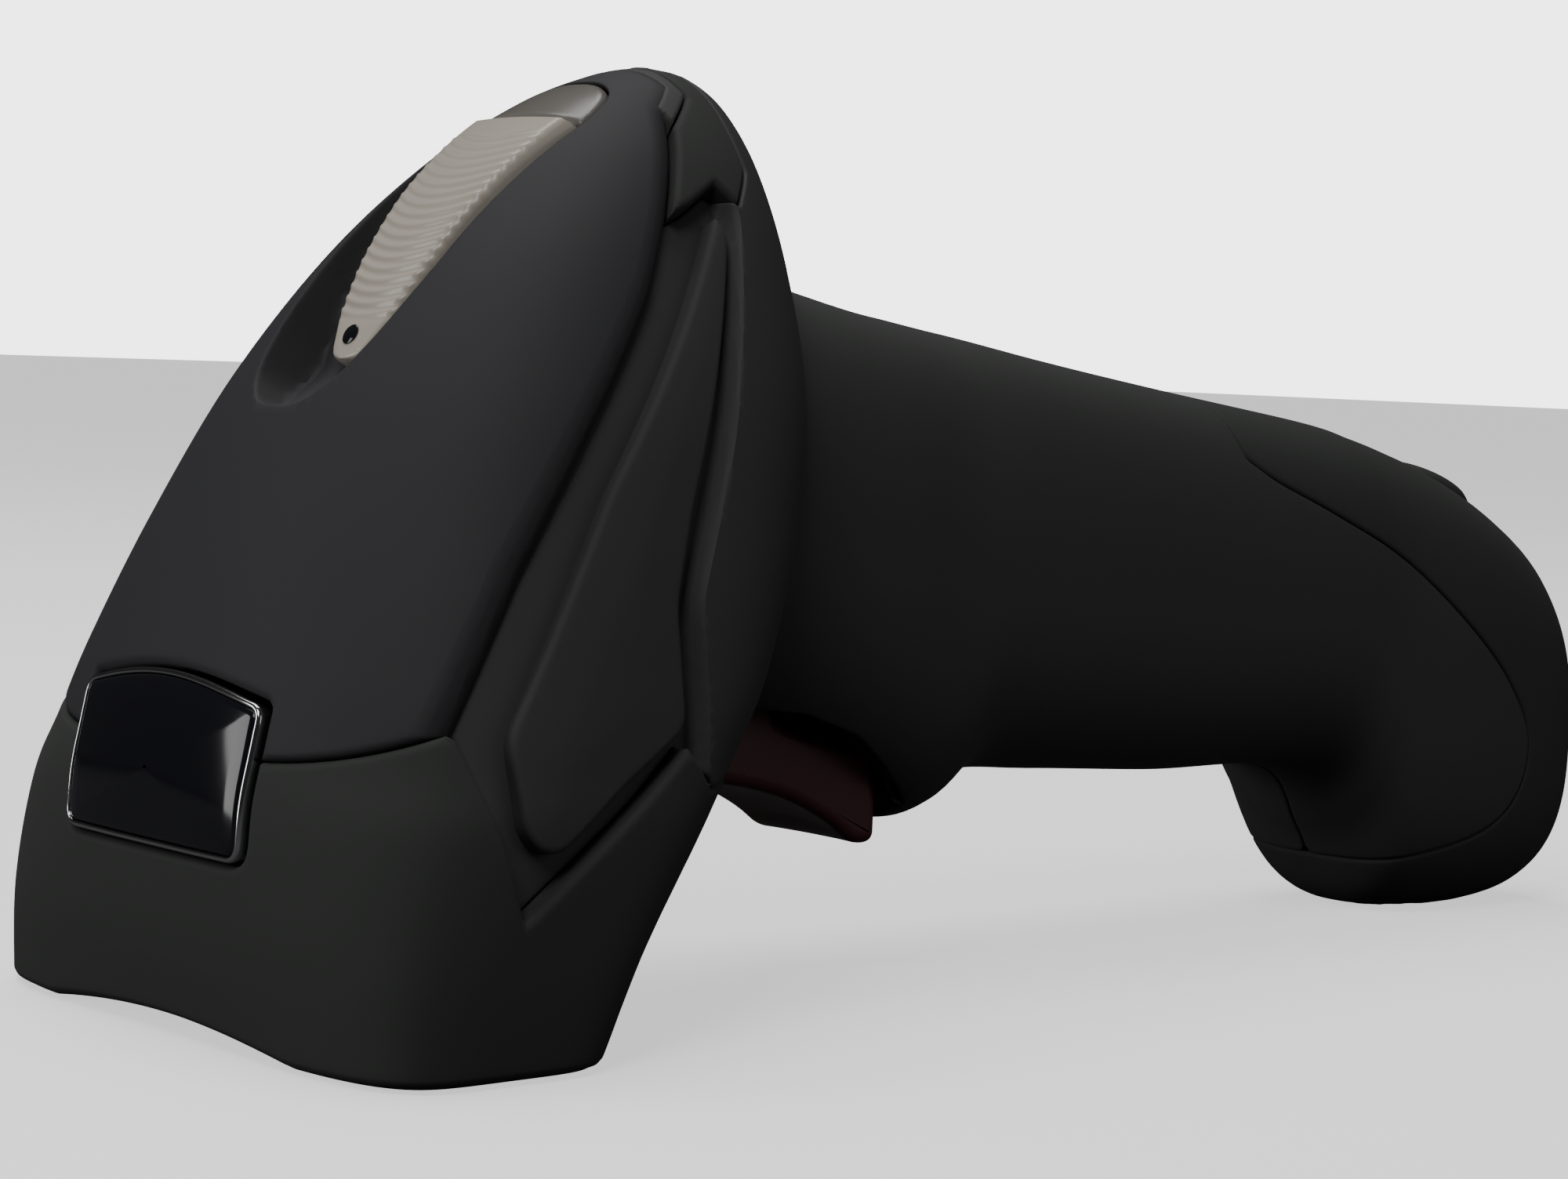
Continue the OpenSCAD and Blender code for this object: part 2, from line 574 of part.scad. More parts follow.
module engine_flex() color([0.7, 0.45, 0.15]) place() level()
    translate([engine_x - 1.25, -4, 0]) cube([0.3, 8, board_z]);
module main_board() color([0.05, 0.3, 0.12]) place() level() difference() {
    translate([board_x, -board_w / 2, board_z]) cube([board_l, board_w, board_t]);
    for (x = post_x, s = [-1, 1]) translate([x, s * post_y, 0]) cylinder(r = 0.95, h = 60);
}
module board_chips() color([0.08, 0.08, 0.08]) place() level() {
    top = board_z + board_t;
    translate([-1, -4.5, top]) cube([9, 9, 1.1]);
    translate([board_x + 0.4, -9, top]) cube([3.6, 6, 1]);
    translate([-1, 7, top]) cube([6, 4, 0.9]);
    translate([board_x + 0.4, 2, top]) cube([3.6, 8, 1]);
    translate([-2, -12, top]) cube([7, 4, 0.9]);
}
module buzzer() color([0.1, 0.1, 0.1]) place() level() difference() {
    translate([-4, 7, deck_z - 5]) cylinder(r = 5.5, h = 5);
    translate([-4, 7, deck_z - 6]) cylinder(r = 1, h = 2);
}
led_top = level_z(side(bar_line)[1]) - bar_t - tub_t - 1.4;
module led_board() color([0.05, 0.3, 0.12]) place() level() {
    translate([-17 * sz, -4.5, led_top - 2.2]) cube([12 * sz, 9, 0.8]);
    translate([-11 * sz - 2, -2.5, board_z + board_t]) cube([4, 5, led_top - 2.2 - board_z - board_t]);
}
module indicator_leds() color([0.85, 0.9, 0.85]) place() level()
    for (x = [-15, -11, -7]) translate([x * sz - 1, -1, led_top - 1.4]) cube([2, 2, 1.2]);
module radio_board() color([0.6, 0.6, 0.6]) place() level() {
    translate([-10, -12, deck_z - 1]) cube([13, 9, 1]);
    translate([-9, -11.5, deck_z - 2.8]) cube([9, 8, 1.8]);
}
module board_screws() color([0.6, 0.6, 0.6]) place() level()
    for (x = post_x, s = [-1, 1]) translate([x, s * post_y, 0]) {
        translate([0, 0, deck_z + 0.4]) cylinder(r = 0.9, h = board_z + board_t - deck_z - 0.4);
        translate([0, 0, board_z + board_t]) cylinder(r = 1.8, h = 1.1);
    }

module trigger_carrier() color([0.16, 0.16, 0.17]) place() difference() {
    union() {
        translate([pivot[0] - 3, -ear_out, plate_low]) cube([spring_x + 4 - pivot[0] + 3, 2 * ear_out, plate_t]);
        translate([switch_x - 4.5, -wing, plate_low]) cube([10, 2 * wing, plate_t]);
        for (s = [-1, 1]) translate([pivot[0] - 3, s * (ear_in + ear_t / 2) - ear_t / 2, pivot[2]])
            cube([6, ear_t, plate_low - pivot[2] + 0.5]);
        translate(pivot) rotate([90, 0, 0]) cylinder(r = 2.6, h = 2 * ear_out, center = true);
    }
    translate([pivot[0] - 10, -ear_in, 0]) cube([60, 2 * ear_in, plate_low]);
    translate(pivot) rotate([90, 0, 0]) cylinder(r = pin_r + run_gap, h = 60, center = true);
}
module trigger_pin() color([0.7, 0.7, 0.72]) place()
    translate(pivot) rotate([90, 0, 0]) cylinder(r = pin_r, h = 2 * ear_out, center = true);
module trigger_spring() color([0.7, 0.7, 0.72]) place() {
    steps = 10 * spring_turns;
    rise = plate_low - spring_low - 2 * spring_wire / 2;
    coil = spring_r - spring_wire / 2;
    rings = [for (k = [0 : steps])
        [for (j = [0 : 5])
            let (a = 360 * k * spring_turns / steps, b = 60 * j, r = coil + spring_wire / 2 * cos(b))
            [spring_x + r * cos(a), r * sin(a),
                spring_low + spring_wire / 2 + rise * k / steps + spring_wire / 2 * sin(b)]]];
    loft([for (k = [steps : -1 : 0]) rings[k]]);
}
module trigger_switch() color([0.12, 0.12, 0.12]) place() difference() {
    translate([switch_x - switch_w / 2, -switch_w / 2, switch_low]) cube([switch_w, switch_w, switch_h]);
    translate([switch_x, 0, switch_low - 1]) cylinder(r = plunger_r + run_gap, h = 1 + 2.7);
}
module switch_plunger() color([0.8, 0.8, 0.78]) place()
    translate([switch_x, 0, plunger_low]) cylinder(r = plunger_r, h = plunger_l);
module switch_board() color([0.05, 0.3, 0.12]) place()
    translate([switch_x - 4.8, -6, plate_low - switch_board_t]) cube([9.4, 12, switch_board_t]);

module battery_cell() color([0.15, 0.35, 0.5]) place() at_cell() {
    cylinder(r = cell_r, h = cell_l, center = true);
}
module battery_cradle() color([0.16, 0.16, 0.17]) place() at_cell() difference() {
    cylinder(r = cradle_r, h = cell_l + 3, center = true);
    cylinder(r = cell_r + fit, h = cell_l + 2 * fit, center = true);
    translate([-big - 3, -big / 2, -cell_l / 2 + 3]) cube([big, big, cell_l - 6]);
}
lead_line = [[78.5, 42], [66, 48], [52, 51], [38, 52], [30.5, 56]];
function unlevel(p) = [head_mid[0] - sin(lean) * p[0] - cos(lean) * p[1],
    head_mid[2] - cos(lean) * p[0] + sin(lean) * p[1]];
module battery_lead() color([0.5, 0.08, 0.08]) place() {
    far = side(lead_line);
    back = [for (k = [3 : -1 : 0]) far[k] + [0.3, 1.2]];
    translate([0, -5.8, 0]) rotate([90, 0, 0]) linear_extrude(2.8, center = true) polygon(concat(far,
        [unlevel([board_x + 2, board_z - 5]), unlevel([board_x + 2, board_z]),
        unlevel([board_x + 0.8, board_z]), unlevel([board_x + 0.8, board_z - 5.5]),
        far[4] + [1.1, 0.8]], back));
}

module socket_shell() color([0.1, 0.1, 0.1]) place() difference() {
    socket_box(socket_wall, socket_x - socket_d - 1.4, socket_x);
    socket_box(0, socket_x - socket_d, big);
    translate([socket_x - socket_d, -1.6, socket_z]) cube([big, 3.2, socket_h / 2 + 0.7]);
}
module socket_contacts() color([0.85, 0.7, 0.3]) place()
    for (k = [-3.5 : 1 : 3.5]) translate([socket_x - socket_d, k * 1.1 - 0.25, socket_z - socket_h / 2])
        cube([socket_d - 3, 0.5, 0.5]);
module socket_board() color([0.05, 0.3, 0.12]) place()
    translate([socket_x - socket_d - 1.4 - board_t, -8, socket_z - 7]) cube([board_t, 16, 15]);

module heel_cap() color([0.17, 0.17, 0.17]) place() at_heel() {
    translate([0, 0, -skin + 0.05]) cylinder(r = heel_r, h = skin - 0.05 + 0.4);
    translate([0, 0, 0.4]) cylinder(r = heel_r - 0.8, h = 0.5);
    translate([0, 0, -skin - 2.2]) cylinder(r = 2.5, h = 2.3);
}

module case_screws() color([0.6, 0.6, 0.6]) place() at_screws() {
    translate([0, 0, -head_at - 0.5]) cylinder(r = screw_r, h = screw_l + 0.5);
    translate([0, 0, -head_at - 1.8]) difference() {
        cylinder(r = head_r, h = 1.8);
        translate([0, 0, -1]) cylinder(r = 0.9, h = 2, $fn = 6);
    }
}
module screw_inserts() color([0.8, 0.65, 0.3]) place() at_screws() difference() {
    translate([0, 0, seam / 2]) cylinder(r = insert_r, h = insert_l);
    cylinder(r = screw_r + 0.03, h = 40, center = true);
}

top_cover();
body_left();
body_right();
nose_bumper();
rear_bumper();
side_plate_left();
side_plate_right();
grip_boot();
light_bar();
light_bar_cap();
badge_frame();
badge_plate();
trigger();
window_frame();
window_gasket();
scan_window();
chassis();
engine_housing();
engine_lens();
aiming_lens();
illumination_leds();
engine_board();
engine_flex();
main_board();
board_chips();
buzzer();
led_board();
indicator_leds();
radio_board();
trigger_carrier();
trigger_pin();
trigger_spring();
trigger_switch();
switch_plunger();
switch_board();
battery_cell();
battery_cradle();
battery_lead();
socket_shell();
socket_contacts();
socket_board();
heel_cap();
case_screws();
screw_inserts();
board_screws();
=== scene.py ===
"""Looks of a hand-held pistol-grip barcode scanner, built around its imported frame."""

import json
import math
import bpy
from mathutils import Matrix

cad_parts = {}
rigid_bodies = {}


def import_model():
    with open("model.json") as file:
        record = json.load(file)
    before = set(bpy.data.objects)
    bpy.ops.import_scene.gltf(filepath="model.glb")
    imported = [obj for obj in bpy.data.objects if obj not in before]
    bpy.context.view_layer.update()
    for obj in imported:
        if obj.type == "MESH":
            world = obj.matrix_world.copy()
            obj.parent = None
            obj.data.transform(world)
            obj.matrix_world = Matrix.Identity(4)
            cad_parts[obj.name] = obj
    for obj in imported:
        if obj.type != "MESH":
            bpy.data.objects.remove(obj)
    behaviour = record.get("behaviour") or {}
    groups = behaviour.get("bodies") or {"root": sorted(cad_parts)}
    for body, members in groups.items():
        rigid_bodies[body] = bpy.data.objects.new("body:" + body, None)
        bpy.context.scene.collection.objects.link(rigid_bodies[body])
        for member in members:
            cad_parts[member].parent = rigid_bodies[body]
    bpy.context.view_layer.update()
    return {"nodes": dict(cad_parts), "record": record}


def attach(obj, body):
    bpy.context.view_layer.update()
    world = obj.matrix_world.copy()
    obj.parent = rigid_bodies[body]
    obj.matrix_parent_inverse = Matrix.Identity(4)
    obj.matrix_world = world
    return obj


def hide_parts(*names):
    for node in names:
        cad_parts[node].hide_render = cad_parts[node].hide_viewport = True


bl_info = {
    "name": "Barcode scanner looks",
    "version": (1, 0, 0),
    "blender": (4, 5, 0),
    "location": "View3D > Sidebar > Scanner",
    "description": "Builds the pieces, materials and stage of a hand-held barcode scanner",
    "category": "Object",
}

import bpy
import numpy as np
from mathutils import Matrix, Vector

for old in list(bpy.data.objects):
    bpy.data.objects.remove(old)
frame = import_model()
NODES = frame["nodes"]
MM = 0.001
MID = 79.0  # middle of the scanner's length, from the middle of its nose
LEAN = math.radians(28)  # how far the scanner's own level is turned

# Level sections of the head: height, front, back, half width, squareness front and back
HEAD = np.array([
    [0, -14.5, 13, 34.5, 4.6, 5], [10, -15.8, 18.2, 35, 3.8, 4.8], [20, -16, 26, 34.8, 3.2, 4.2],
    [26, -15.4, 31.5, 33.8, 2.8, 3.7], [33, -14, 37.5, 32.4, 2.6, 3.3],
    [45, -9.9, 43.6, 29.8, 2.3, 2.9], [58, -3, 46.9, 26.2, 2.2, 2.7], [70, 6.2, 47, 21, 2.2, 2.5],
    [79, 15.5, 45.8, 15.6, 2.1, 2.3], [85, 24.5, 43.4, 10, 2.1, 2.2],
    [88, 31.5, 40.2, 5.2, 2.1, 2.1], [89, 35.5, 37, 0.8, 2, 2]], float)
# Upright sections of the grip: distance along, top, bottom, half width, squareness
GRIP = np.array([
    [27, 66.6, 33, 16, 2.4], [34, 69.6, 29.5, 18, 2.4], [42, 70.6, 25, 18.8, 2.4],
    [51, 68.8, 21, 17.8, 2.5], [60, 66.9, 17.6, 17, 2.6], [66.5, 65.9, 14.8, 16.2, 2.6],
    [71, 65.2, 15.4, 15.8, 2.6], [77, 64.3, 19, 15.6, 2.6], [90, 62.2, 18.6, 15.4, 2.6],
    [108, 59.6, 17.6, 15, 2.6], [130, 56.6, 16.8, 15, 2.6], [137, 55.2, 9.5, 15, 2.6],
    [142.5, 53.8, 1.2, 15.2, 2.7], [150, 51.4, -0.6, 15.4, 2.8], [159, 47.4, -0.6, 15, 2.9],
    [167, 42.2, 0.6, 14, 2.9], [172, 35.5, 3.6, 12, 2.7], [174.5, 26.5, 9.5, 6.5, 2.2]], float)

# Side outlines, as distance and height
BUMPER_EDGE = [[-16, 25.2], [-5, 29.4], [-0.4, 13.5], [18.2, 27.4], [21.5, 23.5]]
COVER_EDGE = [[3.2, 42.5], [12.5, 55.3], [21.5, 67], [26.2, 74.6], [31, 83], [35, 86]]
TAIL_EDGE = [[28.4, 75.4], [32.6, 77.6], [34.8, 75.6], [38, 79]]
PLATE = [[31.6, 75.2], [24.5, 65.4], [12.2, 49.4], [3.9, 36.1], [-0.8, 29], [-0.4, 21.3],
         [1.2, 19.2], [3.6, 19], [10.3, 24.1], [18.3, 29], [18.5, 39.8], [21.5, 48.1],
         [24.3, 54.3], [32.4, 72.7]]
MARGIN = [[34.8, 75.6], [26.9, 53.6], [21, 40], [20.8, 29.4]]
BOOT_EDGE = [[111, 80], [111.4, 56], [114, 51.3], [124.4, 46.9], [138, 41], [148.8, 33.5],
             [156.5, 26.7], [160.7, 20.2], [159.4, 13.7], [154, 9.4], [143.2, 6.8], [136, 5.5],
             [130, 5.5]]
POCKET = [[39, 28], [49, 27], [56, 24.6], [61, 21.2], [66.5, 16.8]]
BAR_LINE = [[3.2, 60.3], [8.6, 69.8], [14.8, 77.4], [22, 83.2]]
RECESS = [[5.8, 1.5], [5.3, 3.7], [2.4, 6.6], [-3, 8.2], [-10.4, 9], [-25.6, 8.6], [-32, 8.2],
          [-36, 6.4], [-37.8, 3]]
BAR = [[-1.6, 1.2], [-2.4, 2.8], [-6, 4.3], [-12, 5.6], [-20, 6.6], [-30.6, 7.2]]
BAR_SPLIT = -30.8
SCREWS = [[28, 34], [37, 60], [67, 57]]
BADGE = (28.0, 12.5, 23.6)  # width, height at the sides, height of its middle
PIVOT = (45.5, 31.0)
HEEL = (156.0, 48.6, math.radians(28), 6.6)
SOCKET = (17.6, 14.2, 9.6)
GAP = 0.1
CHANNEL = 2.2  # depth of the channel round each side plate


def rows_at(rows, s):
    """Rows of the table at fractional places s, on a smooth curve through them."""
    s = np.clip(np.asarray(s, float), 0, len(rows) - 1)
    i = np.minimum(np.floor(s).astype(int), len(rows) - 2)
    t = (s - i)[:, None]
    b, c = rows[i], rows[i + 1]
    a = np.where((i > 0)[:, None], rows[np.maximum(i - 1, 0)], 2 * b - c)
    d = np.where((i + 2 < len(rows))[:, None], rows[np.minimum(i + 2, len(rows) - 1)], 2 * c - b)
    return (2 * b + (c - a) * t + (2 * a - 5 * b + 4 * c - d) * t ** 2
            + (3 * b - a - 3 * c + d) * t ** 3) / 2


def power(v, e):
    return np.sign(v) * np.abs(v) ** e


def head_ring(row, a):
    """One level section of the head at angles a."""
    q = 2 / np.where(np.cos(a) < 0, row[4], row[5])
    x = (row[1] + row[2]) / 2 + (row[2] - row[1]) / 2 * power(np.cos(a), q)
    return np.stack([x, row[3] * power(np.sin(a), q), np.full_like(a, row[0])], 1)


def grip_ring(row, a):
    """One upright section of the grip at angles a."""
    q = 2 / row[4]
    z = (row[1] + row[2]) / 2 + (row[1] - row[2]) / 2 * power(np.sin(a), q)
    return np.stack([np.full_like(a, row[0]), row[3] * power(np.cos(a), q), np.maximum(z, 0)], 1)


def even_ring(points, count):
    """The closed ring of points again, with count points at even spacing."""
    loop = np.vstack([points, points[:1]])
    run = np.concatenate([[0], np.cumsum(np.linalg.norm(np.diff(loop, axis=0), axis=1))])
    at = np.linspace(0, run[-1], count + 1)[:-1]
    return np.stack([np.interp(at, run, loop[:, k]) for k in range(3)], 1)


class Sheet:
    """A surface as points, outward directions and faces, which can be cut and moved."""

    def __init__(self, points, normals, faces):
        self.p, self.n, self.faces = points, normals, faces

    def cut(self, field, level=0.0):
        """Puts an edge along the line where the field has the given level."""
        value = field(self.p) - level
        value[np.abs(value) < 0.015] = 0
        low = np.array([min(value[k] for k in f) for f in self.faces])
        high = np.array([max(value[k] for k in f) for f in self.faces])
        crossing = (low < 0) & (high > 0)
        if not crossing.any():
            return self
        points, normals, made, faces = list(self.p), list(self.n), {}, []
        for f, cross in zip(self.faces, crossing):
            if not cross:
                faces.append(f)
                continue
            above, below = [], []
            for k, here in enumerate(f):
                there = f[(k + 1) % len(f)]
                v, w = value[here], value[there]
                if v >= 0:
                    above.append(here)
                if v <= 0:
                    below.append(here)
                if v * w < 0:
                    key = (min(here, there), max(here, there))
                    if key not in made:
                        t = v / (v - w)
                        made[key] = len(points)
                        points.append(self.p[here] * (1 - t) + self.p[there] * t)
                        n = self.n[here] * (1 - t) + self.n[there] * t
                        normals.append(n / max(np.linalg.norm(n), 1e-9))
                    above.append(made[key])
                    below.append(made[key])
            for part in (above, below):
                if len(part) > 2:
                    faces.append(tuple(part))
        return Sheet(np.array(points), np.array(normals), faces)

    def keep(self, field, level=0.0):
        """Keeps the faces where the field is above the level."""
        value = field(self.p) - level
        faces = [f for f in self.faces if np.mean([value[k] for k in f]) > 0]
        used = sorted({k for f in faces for k in f})
        back = {k: i for i, k in enumerate(used)}
        return Sheet(self.p[used], self.n[used], [tuple(back[k] for k in f) for f in faces])

    def moved(self, depth):
        """Moves each point in by its depth."""
        return Sheet(self.p - self.n * depth[:, None], self.n, self.faces)

    def rimmed(self, drop, steps=1, lean_in=None):
        """Adds a wall that runs inward from every open edge."""
        count = {}
        for f in self.faces:
            for k in range(len(f)):
                a, b = f[k], f[(k + 1) % len(f)]
                count[(a, b)] = count.get((a, b), 0) + 1
        border = [(a, b) for a, b in count if (b, a) not in count]
        ring = sorted({k for e in border for k in e})
        points, normals, faces = [self.p], [self.n], list(self.faces)
        last = {k: k for k in ring}
        total = len(self.p)
        for s in range(1, steps + 1):
            now = {k: total + i for i, k in enumerate(ring)}
            way = -self.n[ring] if lean_in is None else lean_in(self.p[ring])
            points.append(self.p[ring] + way * drop * s / steps)
            normals.append(self.n[ring])
            faces += [(last[b], last[a], now[a], now[b]) for a, b in border]
            last = now
            total += len(ring)
        made = Sheet(np.vstack(points), np.vstack(normals), faces)
        made.open_at = len(self.p)
        return made


def grid_sheet(grid, outward=1):
    """A sheet from a grid of points that closes round its second direction."""
    rows, cols, _ = grid.shape
    du = np.gradient(grid, axis=0)
    dv = np.roll(grid, -1, 1) - np.roll(grid, 1, 1)
    n = np.cross(dv, du)
    size = np.linalg.norm(n, axis=2, keepdims=True)
    n = n / np.maximum(size, 1e-9)
    way = outward if ((grid - grid.mean(1, keepdims=True)) * n).sum() > 0 else -outward
    n = n * way
    faces = []
    for i in range(rows - 1):
        for j in range(cols):
            k = (j + 1) % cols
            f = (i * cols + j, i * cols + k, (i + 1) * cols + k, (i + 1) * cols + j)
            faces.append(f[::way])
    return Sheet(grid.reshape(-1, 3).copy(), n.reshape(-1, 3).copy(), faces)


def head_master():
    a = np.radians(180 + np.linspace(0, 360, 1441)[:-1])
    s = np.concatenate([np.linspace(0, 7, 92), np.linspace(7, 10.6, 62)[1:],
                        np.linspace(10.6, 11, 8)[1:]])
    rings = [even_ring(head_ring(r, a), 232) for r in rows_at(HEAD, s)]
    sheet = grid_sheet(np.array(rings))
    top = [len(sheet.p) - 232 + k for k in range(232)]
    sheet.faces.append(tuple(top))
    return sheet


def grip_master():
    a = np.radians(90 - np.linspace(0, 360, 1441)[:-1])
    s = np.concatenate([np.linspace(0, 14, 126), np.linspace(14, 17, 52)[1:]])
    rings = [even_ring(grip_ring(r, a), 150) for r in rows_at(GRIP, s)]
    sheet = grid_sheet(np.array(rings))
    sheet.faces.append(tuple(len(sheet.p) - 150 + k for k in range(150)))
    return sheet


def closed_curve(points, per=6, tight=0.0):
    """A closed outline again as a smooth curve through its points."""
    p = np.array(points, float)
    n = len(p)
    out = []
    for i in range(n):
        a, b, c, d = p[i - 1], p[i], p[(i + 1) % n], p[(i + 2) % n]
        for k in range(per):
            t = k / per
            m1, m2 = (c - a) / 2 * (1 - tight), (d - b) / 2 * (1 - tight)
            out.append((2 * t ** 3 - 3 * t ** 2 + 1) * b + (t ** 3 - 2 * t ** 2 + t) * m1
                       + (-2 * t ** 3 + 3 * t ** 2) * c + (t ** 3 - t ** 2) * m2)
    return np.array(out)


def rounded(points, r=1.0, steps=5):
    """An outline again with each corner cut back and rounded."""
    p = np.array(points, float)
    out = []
    for i in range(len(p)):
        a, b, c = p[i - 1], p[i], p[(i + 1) % len(p)]
        u, v = a - b, c - b
        lu, lv = np.linalg.norm(u), np.linalg.norm(v)
        k = min(r, lu * 0.45, lv * 0.45)
        s, e = b + u / lu * k, b + v / lv * k
        for t in np.linspace(0, 1, steps):
            out.append((1 - t) ** 2 * s + 2 * t * (1 - t) * b + t ** 2 * e)
    return np.array(out)


def even_outline(points, step):
    """A closed outline again with points at even spacing."""
    loop = np.vstack([points, points[:1]])
    run = np.concatenate([[0], np.cumsum(np.linalg.norm(np.diff(loop, axis=0), axis=1))])
    at = np.linspace(0, run[-1], int(run[-1] / step) + 1)[:-1]
    return np.stack([np.interp(at, run, loop[:, k]) for k in range(2)], 1)


def inside(outline):
    """A function of 2-D places: distance to the outline, positive inside it."""
    a = np.array(outline, float)
    b = np.roll(a, -1, 0)
    span = b - a
    size = np.maximum((span ** 2).sum(1), 1e-12)

    def measure(q):
        out = np.empty(len(q))
        for start in range(0, len(q), 4000):
            part = q[start:start + 4000]
            rel = part[:, None, :] - a[None]
            t = np.clip((rel * span).sum(2) / size, 0, 1)
            near = np.sqrt(((rel - t[..., None] * span) ** 2).sum(2).min(1))
            up = (a[None, :, 1] <= part[:, None, 1]) != (b[None, :, 1] <= part[:, None, 1])
            dy = np.where(np.abs(span[:, 1]) < 1e-12, 1e-12, span[:, 1])
            at = a[None, :, 0] + (part[:, None, 1] - a[None, :, 1]) / dy * span[None, :, 0]
            odd = (up & (at > part[:, None, 0])).sum(1) % 2 == 1
            out[start:start + 4000] = np.where(odd, near, -near)
        return out
    return measure


def level_of(p):
    """Places in the scanner's own frame: forward, and up out of the top of the head."""
    dx, dz = p[..., 0] - 22, p[..., 2] - 48.2
    s, c = math.sin(LEAN), math.cos(LEAN)
    return -s * dx - c * dz, -c * dx + s * dz


def from_level(x, y, z):
    s, c = math.sin(LEAN), math.cos(LEAN)
    return np.stack([22 - s * x - c * z, y, 48.2 - c * x + s * z], -1)


def side_field(outline, gap=0.0):
    measure = inside(outline)
    return lambda p: measure(p[:, [0, 2]]) - gap


def both(*fields):
    return lambda p: np.min([f(p) for f in fields], axis=0)


def outside(field, gap=0.0):
    return lambda p: -field(p) - gap


def half(sign):
    return lambda p: sign * p[:, 1] - 0.06


def roll_in(distance, r):
    """How far an edge rounded to radius r has dropped at a distance in from it."""
    k = np.clip(r - np.maximum(distance, 0), 0, r)
    return r - np.sqrt(np.maximum(r * r - k * k, 0))


ROLL = (0.0, 0.076, 0.29, 0.62, 1.0)


def piece_sheet(master, field, r=0.5, drop=1.2, extra=None, cuts=(), steps=1):
    """Cuts one piece out of a master surface, rounds its edges and turns them in."""
    sheet = master
    for f, levels in cuts:
        for level in levels:
            sheet = sheet.cut(f, level)
    for k in ROLL:
        sheet = sheet.cut(field, k * r)
    sheet = sheet.keep(field)
    depth = roll_in(field(sheet.p), r)
    if extra is not None:
        depth = depth + extra(sheet.p)
    return sheet.moved(depth).rimmed(drop, steps)


def mesh_object(name, parts, body="housing", flip=False, sharp=40):
    """One object from one or more sheets, in metres in the row's frame."""
    parts = parts if isinstance(parts, (list, tuple)) else [parts]
    points, faces, base = [], [], 0
    for part in parts:
        points.append(part.p)
        faces += [tuple(base + k for k in (f[::-1] if flip else f)) for f in part.faces]
        base += len(part.p)
    v = np.vstack(points).copy()
    v[:, 0] -= MID
    mesh = bpy.data.meshes.new(name)
    mesh.from_pydata((v * MM).tolist(), [], faces)
    mesh.validate()
    mesh.update()
    mesh.shade_smooth()
    mesh.set_sharp_from_angle(angle=math.radians(sharp))
    obj = bpy.data.objects.new(name, mesh)
    bpy.context.scene.collection.objects.link(obj)
    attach(obj, body)
    return obj


def finish_piece(obj, node, slot_name, *materials):
    """Hides the node that the object takes the place of, and gives the object its materials."""
    for m in materials:
        obj.data.materials.append(m)
    if node:
        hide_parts(node)
    return obj


# Fields of the case's zones, in the side view
FAR = 300.0
BUMPER_ZONE = side_field(np.array([[-FAR, -FAR], [-FAR, 25.2], *BUMPER_EDGE,
                                   [24.5, 24.5], [36, 24.5], [36, -FAR]], float))
COVER_ZONE = side_field(np.array([[-FAR, 25.2], *BUMPER_EDGE[:2], *COVER_EDGE,
                                  [35, FAR], [-FAR, FAR]], float))
TAIL_ZONE = side_field(np.array([[38, FAR], [35, FAR], [35, 86], [31, 83], [26.2, 74.6],
                                 *TAIL_EDGE], float))
PLATE_ZONE = side_field(rounded(PLATE, 1.6))
BOOT_SMOOTH = [[111, 80]] + closed_curve(BOOT_EDGE, 5)[5:60].tolist()
BOOT_ZONE = side_field(np.array(BOOT_SMOOTH + [[130, 5.5], [130, -FAR], [FAR, -FAR], [FAR, FAR],
                                               [111, FAR]], float))
COVER_SIDE = side_field(np.array([[-FAR, -23], [-37.8, -23], BUMPER_EDGE[1], *COVER_EDGE,
                                  [35, FAR], [-FAR, FAR]], float), GAP)
COVER_FRONT = side_field(np.array([[-FAR, 25.2], *BUMPER_EDGE[:2], [215, 113.4], [215, FAR],
                                   [-FAR, FAR]], float), GAP)
CHANNEL_ZONE = side_field(rounded([[-20, 20], [-6, 52], [26, 95], [34.8, 75.6], [26.9, 53.6],
                                   [21, 40], [20.8, 29.4], [20, 10], [-0.4, 5]], 2.0))
POCKET_ZONE = side_field(np.array([*POCKET, [66.5, -FAR], [39, -FAR]], float))
PLAN = [[x, y] for x, y in RECESS] + [[x, -y] for x, y in RECESS[::-1]]
RECESS_IN = inside(rounded(PLAN, 2.5))


def recess_field(p):
    """Distance in from the edge of the light bar's recess, positive inside it."""
    x, z = level_of(p)
    field = RECESS_IN(np.stack([x, p[:, 1]], 1))
    return np.where(z > 0, field, -50.0)


def bar_top(x):
    """Height of the light bar's top along its length, in the scanner's own frame."""
    line = np.array([level_of(np.array([a, 0, b], float)) for a, b in BAR_LINE])
    line = line[np.argsort(line[:, 0])]
    fit = np.polyfit(line[:, 0], line[:, 1], 3)
    return np.polyval(fit, x)


def badge_field(grow):
    """Distance in from the edge of the badge, grown by a margin."""
    w, h, z = BADGE
    w, h = w / 2 + grow, h / 2 + grow
    arch = [[k * w, h + 1.9 * math.cos(k * math.pi / 2)] for k in np.linspace(1, -1, 15)]
    measure = inside(rounded([[-w, -h], [w, -h]] + arch, 1.3 + grow))
    return lambda p: np.where(p[:, 0] < 0, measure(p[:, [1, 2]] - [0, z]), -50.0)


def arch(p):
    """How far the nose's rim is raised over its front."""
    lift = 1.5 * np.clip(1 - (p[:, 1] / 20) ** 2, 0, 1)
    return np.where((p[:, 0] < 0), lift, 0) * np.clip(1 - p[:, 2] / 7, 0, 1)


